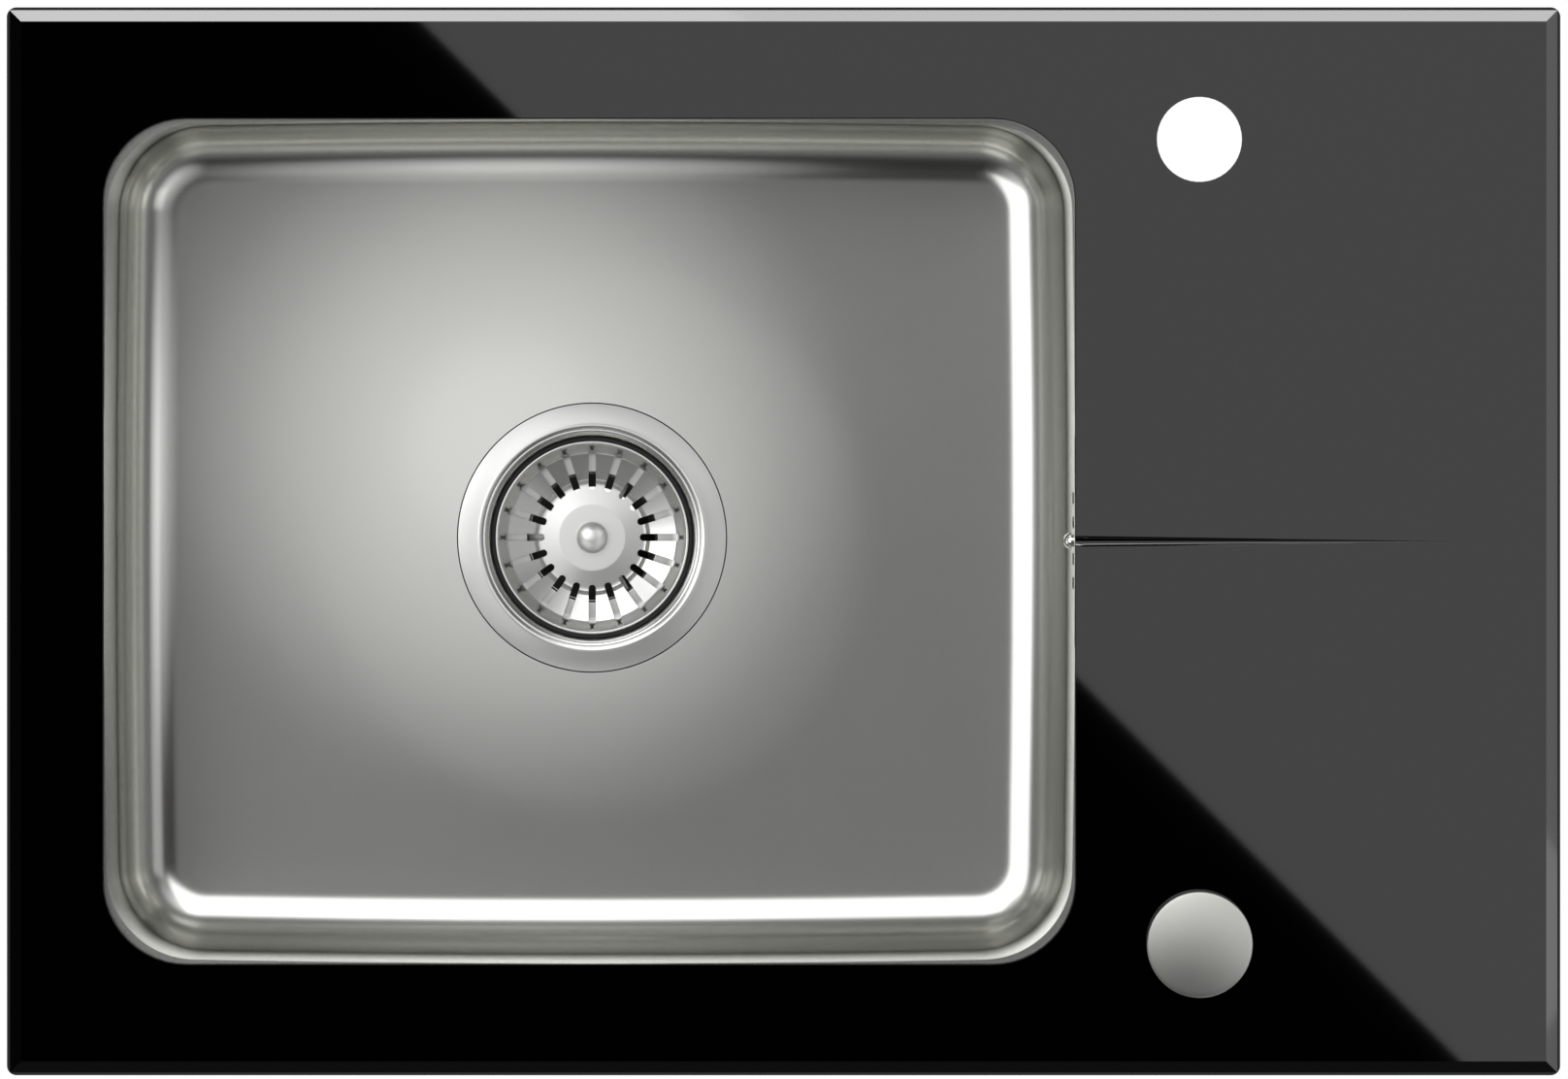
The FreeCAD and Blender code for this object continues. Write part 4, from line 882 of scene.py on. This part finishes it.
class SINK_OT_screws(bpy.types.Operator):
    """Turn the overflow's domed screw and the six clip screws"""

    bl_idname = "sink.screws"
    bl_label = "Screws"

    def execute(self, context):
        s = context.scene.sink_screws
        self.overflow_screw(s)
        first = self.clip_screw(s)
        for k in range(2, s.clips + 1):
            node = "clip_screw_%d" % k
            choose(first)
            bpy.ops.object.duplicate()
            copy = context.object
            copy.name = "clip_bolt_%d" % k
            copy.data.name = copy.name
            bpy.ops.transform.translate(value=centre(node) - centre("clip_screw_1"))
            bpy.ops.object.transform_apply(location=True, rotation=True, scale=True)
            fit(copy, node, "zinc_steel", node, angle=30)
        fit(first, "clip_screw_1", "zinc_steel", "clip_screw_1", angle=30)
        return {"FINISHED"}

    @staticmethod
    def overflow_screw(s):
        """Domed head with a driver's cross, on its shank."""
        low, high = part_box("overflow_screw")
        reach = high.x - low.x
        rise = (s.head**2 + s.head_rise**2) / (2 * s.head_rise)
        start = math.degrees(math.acos(s.head / rise))
        shank = [(s.shank * 0.7, -reach), (s.shank, s.shank * 0.3 - reach), (s.shank, -s.head_rise)]
        profile = shank + [(s.head * 0.96, -s.head_rise)] + arc((0, -rise), rise, start, 90, 12)
        screw = turned("overflow_stud", profile, 0, 0, 64, False)
        cross = s.head * 0.9
        for size in ((cross, s.driver, s.driver), (s.driver, cross, s.driver)):
            cut_away(screw, driver_bar((0, 0, 0), size))
        choose(screw)
        screw.rotation_euler = (0, -math.pi / 2, 0)
        screw.location = (low.x, *centre("overflow_screw").yz)
        bpy.ops.object.transform_apply(location=True, rotation=True, scale=True)
        fit(screw, "sink", "polished_steel", "overflow_screw", finish="screw_steel")

    @staticmethod
    def clip_screw(s):
        """Slotted head, collar and thread of one clip screw."""
        low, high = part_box("clip_screw_1")
        x, y = centre("clip_screw_1").xy
        seat = low.z + s.clip_head
        ring = high.z - s.clip_collar_drop
        ease = 0.6 * MM
        line = [(s.clip_radius - ease, low.z), (s.clip_radius, low.z + ease), (s.clip_radius, seat)]
        line += [(s.clip_shank, seat), (s.clip_shank, ring), (s.clip_collar, ring)]
        line += [(s.clip_collar, ring + s.clip_ring), (s.clip_shank, ring + s.clip_ring)]
        start = ring + s.clip_ring + 2 * s.clip_pitch
        line += thread(s.clip_shank, start, high.z - s.clip_pitch, s.clip_pitch)
        line += [(s.clip_shank * 0.7, high.z), (0.0, high.z)]
        screw = turned("clip_bolt_1", line, x, y, 40, False)
        across = 2 * s.clip_radius + 2 * MM
        cut_away(screw, driver_bar((x, y, low.z), (across, s.driver, 2 * s.driver)))
        return screw


# Waste


def seat_height():
    """Height of the seat that the waste's ring stands on."""
    b = bpy.context.scene.sink_bowl
    return b.rim - b.depth - b.drop


def cup_profile(w, inner, floor, hub, under):
    """Section of the waste cup: ring with its beads, wall, step, floor, collar and back."""
    crest = seat_height() + w.rise
    edge = under + w.edge
    bead = (w.crest - w.cup) / 4
    ring = [(w.flange, under), (w.flange, edge)]
    swell = ((w.crest + w.flange) / 2, (crest + edge) / 2 + w.edge / 10)
    ring += bow(ring[-1], swell, (w.crest, crest), 10)
    ring += bow(ring[-1], (w.cup + 3.4 * bead, crest), (w.cup + 2.3 * bead, crest - 0.5 * bead), 8)
    ring += bow(ring[-1], (w.cup + 1.7 * bead, crest - 0.45 * bead), (w.cup + 0.7 * bead, crest - bead), 8)
    ring += bow(ring[-1], (w.cup + 0.25 * bead, crest - 1.3 * bead), (w.cup, crest - 2 * bead), 6)
    step = seat_height() - w.step
    step_end = step - (w.cup - inner)
    turn = (inner - w.corner, floor + w.corner)
    lip = (w.outlet + w.sheet, floor - w.sheet)
    wall = eased([ring[-1], (w.cup, step), (inner, step_end), (inner, turn[1])], 0.5 * MM, 4, False)[1:-1]
    wall += arc(turn, w.corner, 0, -90, 8) + arc(lip, w.sheet, 90, 180, 6) + [(w.outlet, hub)]
    back = [(lip[0], hub), lip] + arc(turn, w.corner + w.sheet, -90, 0, 8)
    back += [(inner + w.sheet, step_end - w.sheet / 2), (w.cup + w.sheet, step - w.sheet / 2)]
    return ring + wall + back + [(w.cup + w.sheet, under)]


def waste_gasket_profile(w, b, under):
    """Section of the gasket under the ring, with a lip squeezed up round the ring's edge."""
    outer = b.recess - w.squeeze
    inner = w.flange + w.squeeze
    loop = [(b.drain, under - w.gasket), (outer, under - w.gasket), (outer, under + w.edge)]
    loop += [(inner, under + w.edge), (inner, under), (b.drain, under)]
    return eased(loop, 0.1 * MM, 2)


def spider_arm(w, degrees, low):
    """Arm from the hub to the cup's collar."""
    near = w.hub - w.sheet / 2
    far = w.outlet + w.sheet / 2
    spot = around(AXIS_X, (near + far) / 2, degrees, low + w.arm_thick / 2)
    size = (far - near, w.arm, w.arm_thick)
    return eased_block("waste_arm", spot, size, 0.4 * MM, math.radians(degrees))


class SINK_OT_waste(bpy.types.Operator):
    """Turn the waste cup with its raised ring, beads, flat floor and bolt spider, and the gasket under it"""

    bl_idname = "sink.waste"
    bl_label = "Waste cup"

    def execute(self, context):
        w = context.scene.sink_waste
        b = context.scene.sink_bowl
        k = context.scene.sink_basket
        under = seat_height() - b.recess_depth + w.gasket
        floor = seat_height() - w.depth
        hub = floor - w.collar
        profile = cup_profile(w, k.radius - k.sheet, floor, hub, under)
        pieces = [turned("waste_cup", profile, AXIS_X)]
        loop = [(w.bolt, hub), (w.hub, hub), (w.hub, hub + w.arm_thick), (w.bolt, hub + w.arm_thick)]
        pieces.append(turned("waste_hub", eased(loop, 0.4 * MM, 2), AXIS_X, 0, 48))
        for turn in (60, 180, 300):
            pieces.append(spider_arm(w, turn, hub))
        cup = join("waste_cup", pieces)
        fit(cup, "sink", "polished_steel", "waste_flange")
        gasket = turned("waste_gasket", waste_gasket_profile(w, b, under), AXIS_X)
        fit(gasket, "sink", "black_rubber", "flange_gasket")
        return {"FINISHED"}


# Strainer basket


def basket_line(k, lip):
    """Upper line of the basket's section, from near its axis to its lip."""
    cone = lip - k.wall - k.cone_rise
    channel = cone - k.channel_rise
    line = [(k.neck + 1 * MM, channel + k.dome_rise), (k.dome_top, channel + k.dome_rise)]
    line += [(k.dome_base, channel), (k.channel, channel), (k.cone_in, cone)]
    return line + [(k.cone_out, cone + k.cone_rise), (k.radius - k.sheet, lip)]


def slot_cutter(k, low, high):
    """Ring of round-ended slots as one cutter."""
    size = (k.slot_out - k.slot_in, k.slot, high - low)
    round_share = 0.49
    cutters = []
    for i in range(k.slots):
        turn = 360 * i / k.slots
        spot = around(AXIS_X, (k.slot_in + k.slot_out) / 2, turn, (low + high) / 2)
        slot = block("basket_slot", spot, size, math.radians(turn))
        round_edges(slot, Z, k.slot * round_share)
        cutters.append(slot)
    return join("basket_slots", cutters)


def ball_profile(k, base):
    """Ball on a flared neck, from its foot up to its top on the axis."""
    rise = base + k.neck_rise + math.sqrt(k.ball**2 - k.neck**2)
    start = math.degrees(math.asin(k.neck / k.ball)) - 90
    foot = [(k.neck + 0.7 * MM, base), (k.neck + 0.15 * MM, base + 0.4 * MM)]
    return foot + arc((0, rise), k.ball, start, 90, 24)


def basket_gasket_profile(k, low, high):
    """Section of the seal, with two soft ribs."""
    out = bpy.context.scene.sink_waste.cup - k.seal_gap
    waist = (low + high) / 2
    loop = [(k.radius, low), (out - 0.6 * MM, low), (out, low + 0.9 * MM), (out - 0.4 * MM, waist)]
    loop += [(out, high - 0.9 * MM), (out - 0.6 * MM, high), (k.radius, high)]
    return eased(loop, 0.3 * MM, 3)


class SINK_OT_basket(bpy.types.Operator):
    """Press the strainer basket, slot it, and set its ball and its seal"""

    bl_idname = "sink.basket"
    bl_label = "Strainer basket"

    def execute(self, context):
        k = context.scene.sink_basket
        lip = seat_height() - k.below
        skirt = lip - k.skirt
        inner = k.radius - k.sheet
        top = basket_line(k, lip)
        under = beside(top, k.sheet)[-2::-1]
        wall_r, wall_z = under[0]
        fold = wall_z + k.wall / (inner - k.cone_out) * (inner - wall_r)
        rim = [(k.radius, lip), (k.radius, skirt), (inner, skirt), (inner, fold)]
        profile = eased(top + rim + under, 0.45 * MM, 5, False)
        low = under[-1][1]
        basket = turned("basket_pressing", profile + [(0.0, low)], AXIS_X, 0, FINE_RING, False)
        cut_away(basket, slot_cutter(k, low - 5 * MM, lip + 3 * MM))
        fit(basket, "basket", "polished_steel", "strainer_basket", angle=35)
        ball = turned("basket_ball", ball_profile(k, top[0][1]), AXIS_X, 0, 96, False)
        fit(ball, "basket", "polished_steel", "basket_knob", finish="ball_steel")
        ring = turned("basket_gasket", basket_gasket_profile(k, skirt, lip - 1 * MM), AXIS_X)
        fit(ring, "basket", "black_rubber", "basket_seal")
        return {"FINISHED"}


# Control knob


class SINK_OT_knob(bpy.types.Operator):
    """Turn the hollow control knob with its soft edge and faint dome"""

    bl_idname = "sink.knob"
    bl_label = "Control knob"

    def execute(self, context):
        k = context.scene.sink_knob
        low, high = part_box("control_knob")
        x, y = centre("control_knob").xy
        top = high.z - k.dome
        inside = k.radius - k.wall
        roof = top - k.wall
        boss = k.socket + k.socket_wall
        line = [(k.socket, low.z + k.socket_depth), (k.socket, low.z), (boss, low.z), (boss, roof)]
        line += [(inside, roof), (inside, low.z), (k.radius, low.z), (k.radius, top - k.edge)]
        flat = k.radius - k.edge
        profile = eased(line, 0.3 * MM, 3, False) + arc((flat, top - k.edge), k.edge, 0, 90, 6)[1:]
        dome_steps = 16
        for step in range(1, dome_steps + 1):
            t = 1 - step / dome_steps
            profile.append((flat * t, top + k.dome * (1 - t**2)))
        knob = turned("knob_cap", profile, x, y, 128, False)
        fit(knob, "knob", "knob_steel", "control_knob")
        return {"FINISHED"}


# Stage


def soft_box(name, spot, aim, size, radiance, receivers=None, shape="RECTANGLE", spin=0.0):
    """Soft light of a given radiance, aimed at a point, that the camera doesn't see."""
    lamp = bpy.data.lights.new(name, "AREA")
    lamp.shape = shape
    lamp.size = size[0]
    lamp.size_y = size[1]
    area = size[0] * size[1] * (math.pi / 4 if shape == "ELLIPSE" else 1)
    lamp.energy = radiance * math.pi * area
    box = bpy.data.objects.new(name, lamp)
    bpy.context.scene.collection.objects.link(box)
    box.location = spot
    if aim is not DOWN:
        box.rotation_euler = (Vector(aim) - Vector(spot)).to_track_quat("-Z", "Y").to_euler()
    if spin:
        box.rotation_euler.rotate_axis("Z", math.radians(spin))
    box.visible_camera = False
    if receivers:
        group = bpy.data.collections.new(name + "_lit")
        for piece in receivers:
            group.objects.link(piece)
        box.light_linking.receiver_collection = group


def studio_camera():
    """Long lens straight over the deck, standing a little right of its middle and behind it."""
    lens = bpy.data.cameras.new("camera")
    camera = bpy.data.objects.new("camera", lens)
    bpy.context.scene.collection.objects.link(camera)
    bpy.context.scene.camera = camera
    lens.sensor_width = 36.0
    lens.lens = 1000.0
    lens.clip_start = 0.1
    lens.clip_end = 100.0
    frame_width = 0.64587
    glass = 0.009
    aim = Vector((0.0002, 0.0008, glass))
    camera.location = (0.037, 0.163, glass + frame_width * lens.lens / lens.sensor_width)
    back = (camera.location - aim).normalized()
    right = Vector((0, 1, 0)).cross(back).normalized()
    camera.rotation_euler = Matrix((right, back.cross(right), back)).transposed().to_euler()


def studio_floor():
    """Pale floor that shows white to the camera and in the metal, and is see-through from below."""
    wide = 24
    gap = 0.2 * MM
    glow = 1.07
    glow_share = 0.94
    clear_table()
    bpy.ops.mesh.primitive_plane_add(size=wide, location=(0, 0, CAD_BOX[0].z - gap))
    floor = open_piece("floor")
    bpy.ops.mesh.select_all(action="SELECT")
    bpy.ops.mesh.subdivide(number_cuts=3)
    bpy.ops.object.mode_set(mode="OBJECT")
    f = Finish("floor_white")
    grain = f.noise(f.place(), 40.0, 3.0)
    tone = f.blend(grain, (0.78, 0.78, 0.78, 1), (0.82, 0.82, 0.82, 1))
    pale = f.node("ShaderNodeBsdfDiffuse", None, {"Color": tone})
    white = f.node("ShaderNodeEmission", None, {"Color": (1, 1, 1, 1), "Strength": glow})
    seen = f.node("ShaderNodeLightPath", out="Is Camera Ray")
    gloss = f.node("ShaderNodeLightPath", out="Is Glossy Ray")
    through = f.node("ShaderNodeLightPath", out="Is Transmission Ray")
    share = (seen + gloss + through) * glow_share
    top = f.node("ShaderNodeMixShader", None, {0: share, 1: pale, 2: white})
    clear = f.node("ShaderNodeBsdfTransparent")
    below = f.node("ShaderNodeNewGeometry", out="Backfacing")
    f.end(f.node("ShaderNodeMixShader", None, {0: below, 1: top, 2: clear}))
    dress(floor, f.material)


def studio_world():
    """White to the camera. To all else a dim sky, palest low down and dark overhead."""
    world = bpy.data.worlds.new("studio")
    bpy.context.scene.world = world
    world.use_nodes = True
    f = Finish("studio", world.node_tree)
    way = f.node("ShaderNodeTexCoord", out="Generated")
    height = f.node("ShaderNodeSeparateXYZ", None, {0: way}, "Z")
    stops = ((0.0, 0.5), (0.5, 0.5), (0.68, 0.28), (0.82, 0.03), (1.0, 0.0))
    dim = f.node("ShaderNodeValToRGB", {"stops": stops}, {0: height * 0.5 + 0.5})
    seen = f.node("ShaderNodeLightPath", out="Is Camera Ray")
    light = f.blend(seen, dim, (1, 1, 1, 1))
    f.end(f.node("ShaderNodeBackground", None, {"Color": light, "Strength": 1.0}), "ShaderNodeOutputWorld")


def light_deck(deck, cap):
    """Card whose edge draws a diagonal on the glass, and slim lamps that the bevels mirror."""
    card = (0.7, 2.0)
    card_edge = 0.0417
    out = (card_edge + card[0] / 2) * math.sqrt(0.5)
    soft_box("diagonal_card", (out, out, 0.8), DOWN, card, 1.45, deck + cap, spin=45)
    soft_box("deck_back", (0.0, 1.1, 0.82), (0, 0.217, 0), (1.2, 0.2), 13.0, deck)
    soft_box("deck_front", (0.0, -1.1, 0.82), (0, -0.217, 0), (1.2, 0.2), 0.08, deck)
    soft_box("deck_right", (1.2, 0.0, 1.0), (0.3, 0, 0), (3.0, 0.3), 2.5, deck)


def light_bowl(bowl, waste):
    """Discs, by reach in millimetres and level, stacked for a soft spot, and cards for the coves."""
    discs = ((40, 0.216), (65, 0.115), (85, 0.102), (105, 0.182), (130, 0.16))
    for k, (reach, level) in enumerate(discs):
        spot = (-0.115, 0.035, 0.045 + 2 * MM * k)
        size = 2 * reach * MM
        soft_box("bowl_spot_%d" % reach, spot, DOWN, (size, size), level, bowl + waste, "ELLIPSE")
    soft_box("bowl_left", (-2.74, 0.5, 3.85), DOWN, (3.86, 5.0), 1.77, bowl)
    soft_box("bowl_back", (-0.5, 2.84, 3.95), DOWN, (5.0, 4.26), 1.77, bowl)
    soft_box("bowl_over", (AXIS_X, 0, 4.1), DOWN, (1.2, 1.2), 0.16, bowl, "ELLIPSE")
    soft_box("bowl_right", (0.48, -0.10, 0.6), (-0.25, -0.06, -0.16), (0.35, 0.35), 0.52, bowl)


def light_waste(waste, ball):
    """Cards over and round the waste, and small ones inside the bowl for its ball."""
    soft_box("waste_over", (AXIS_X, 0, 0.9), DOWN, (1.6, 1.6), 0.33, waste, "ELLIPSE")
    soft_box("waste_left", (-1.6, 0.3, 1.0), DRAIN, (1.0, 1.4), 1.9, waste)
    soft_box("waste_back", (-0.3, 1.6, 1.1), DRAIN, (1.4, 1.0), 2.55, waste)
    soft_box("waste_far_left", (-2.74, 0.5, 3.75), DOWN, (3.86, 5.0), 0.46, waste)
    soft_box("waste_far_back", (-0.5, 2.84, 3.65), DOWN, (5.0, 4.26), 0.47, waste)
    soft_box("waste_far_right", (3.0, -0.5, 3.8), DOWN, (3.0, 4.0), 0.4, waste)
    for turn, level in ((45, 0.9), (135, 2.2), (225, 0.8), (315, 0.6)):
        soft_box("ball_%d" % turn, around(AXIS_X, 0.17, turn, -0.10), DRAIN, (0.3, 0.16), level, [ball])


def light_sides(cap):
    """Key for the knob, and four cards round the whole sink."""
    soft_box("knob_key", (-0.12, 0.12, 1.3), (0.17, -0.17, 0), (0.5, 0.5), 3.0, cap)
    for turn in (20, 110, 200, 290):
        soft_box("side_%d" % turn, around(0, 2.4, turn, 0.55), (0, 0, -0.1), (1.2, 0.7), 1.5)


class SINK_OT_stage(bpy.types.Operator):
    """Set up the camera, the floor, the lights and the world"""

    bl_idname = "sink.stage"
    bl_label = "Stage"

    def execute(self, context):
        context.scene.view_settings.view_transform = "Standard"
        studio_camera()
        studio_floor()
        studio_world()
        piece = bpy.data.objects
        bowl = [piece["bowl_pressing"], piece["overflow_stud"]]
        waste = [piece[name] for name in ("waste_cup", "basket_pressing", "basket_ball", "basket_gasket")]
        cap = [piece["knob_cap"]]
        light_deck([NODES["glass_top"]], cap)
        light_bowl(bowl, waste)
        light_waste(waste, piece["basket_ball"])
        light_sides(cap)
        return {"FINISHED"}


class SINK_PT_pieces(bpy.types.Panel):
    """Lists the pieces of the sink"""

    bl_idname = "SINK_PT_pieces"
    bl_label = "Sink"
    bl_space_type = "VIEW_3D"
    bl_region_type = "UI"
    bl_category = "Sink"

    def draw(self, context):
        for maker in OPERATORS:
            self.layout.operator(maker.bl_idname)
        for group in GROUPS:
            settings = getattr(context.scene, group)
            for name in settings.__annotations__:
                self.layout.prop(settings, name)


GROUPS = {
    "sink_bowl": BowlSizes,
    "sink_waste": WasteSizes,
    "sink_basket": BasketSizes,
    "sink_knob": KnobSizes,
    "sink_screws": ScrewSizes,
    "sink_colours": SinkColours,
}
PIECES = [SINK_OT_bowl, SINK_OT_screws, SINK_OT_waste, SINK_OT_basket, SINK_OT_knob]
OPERATORS = [SINK_OT_finishes, *PIECES, SINK_OT_stage]


def register():
    for made in [*GROUPS.values(), *OPERATORS, SINK_PT_pieces]:
        bpy.utils.register_class(made)
    for name, group in GROUPS.items():
        setattr(bpy.types.Scene, name, PointerProperty(type=group))


def unregister():
    for name in GROUPS:
        delattr(bpy.types.Scene, name)
    for made in reversed([*GROUPS.values(), *OPERATORS, SINK_PT_pieces]):
        bpy.utils.unregister_class(made)


def main():
    register()
    for maker in OPERATORS:
        group, name = maker.bl_idname.split(".")
        getattr(getattr(bpy.ops, group), name)()


if __name__ == "__main__":
    main()
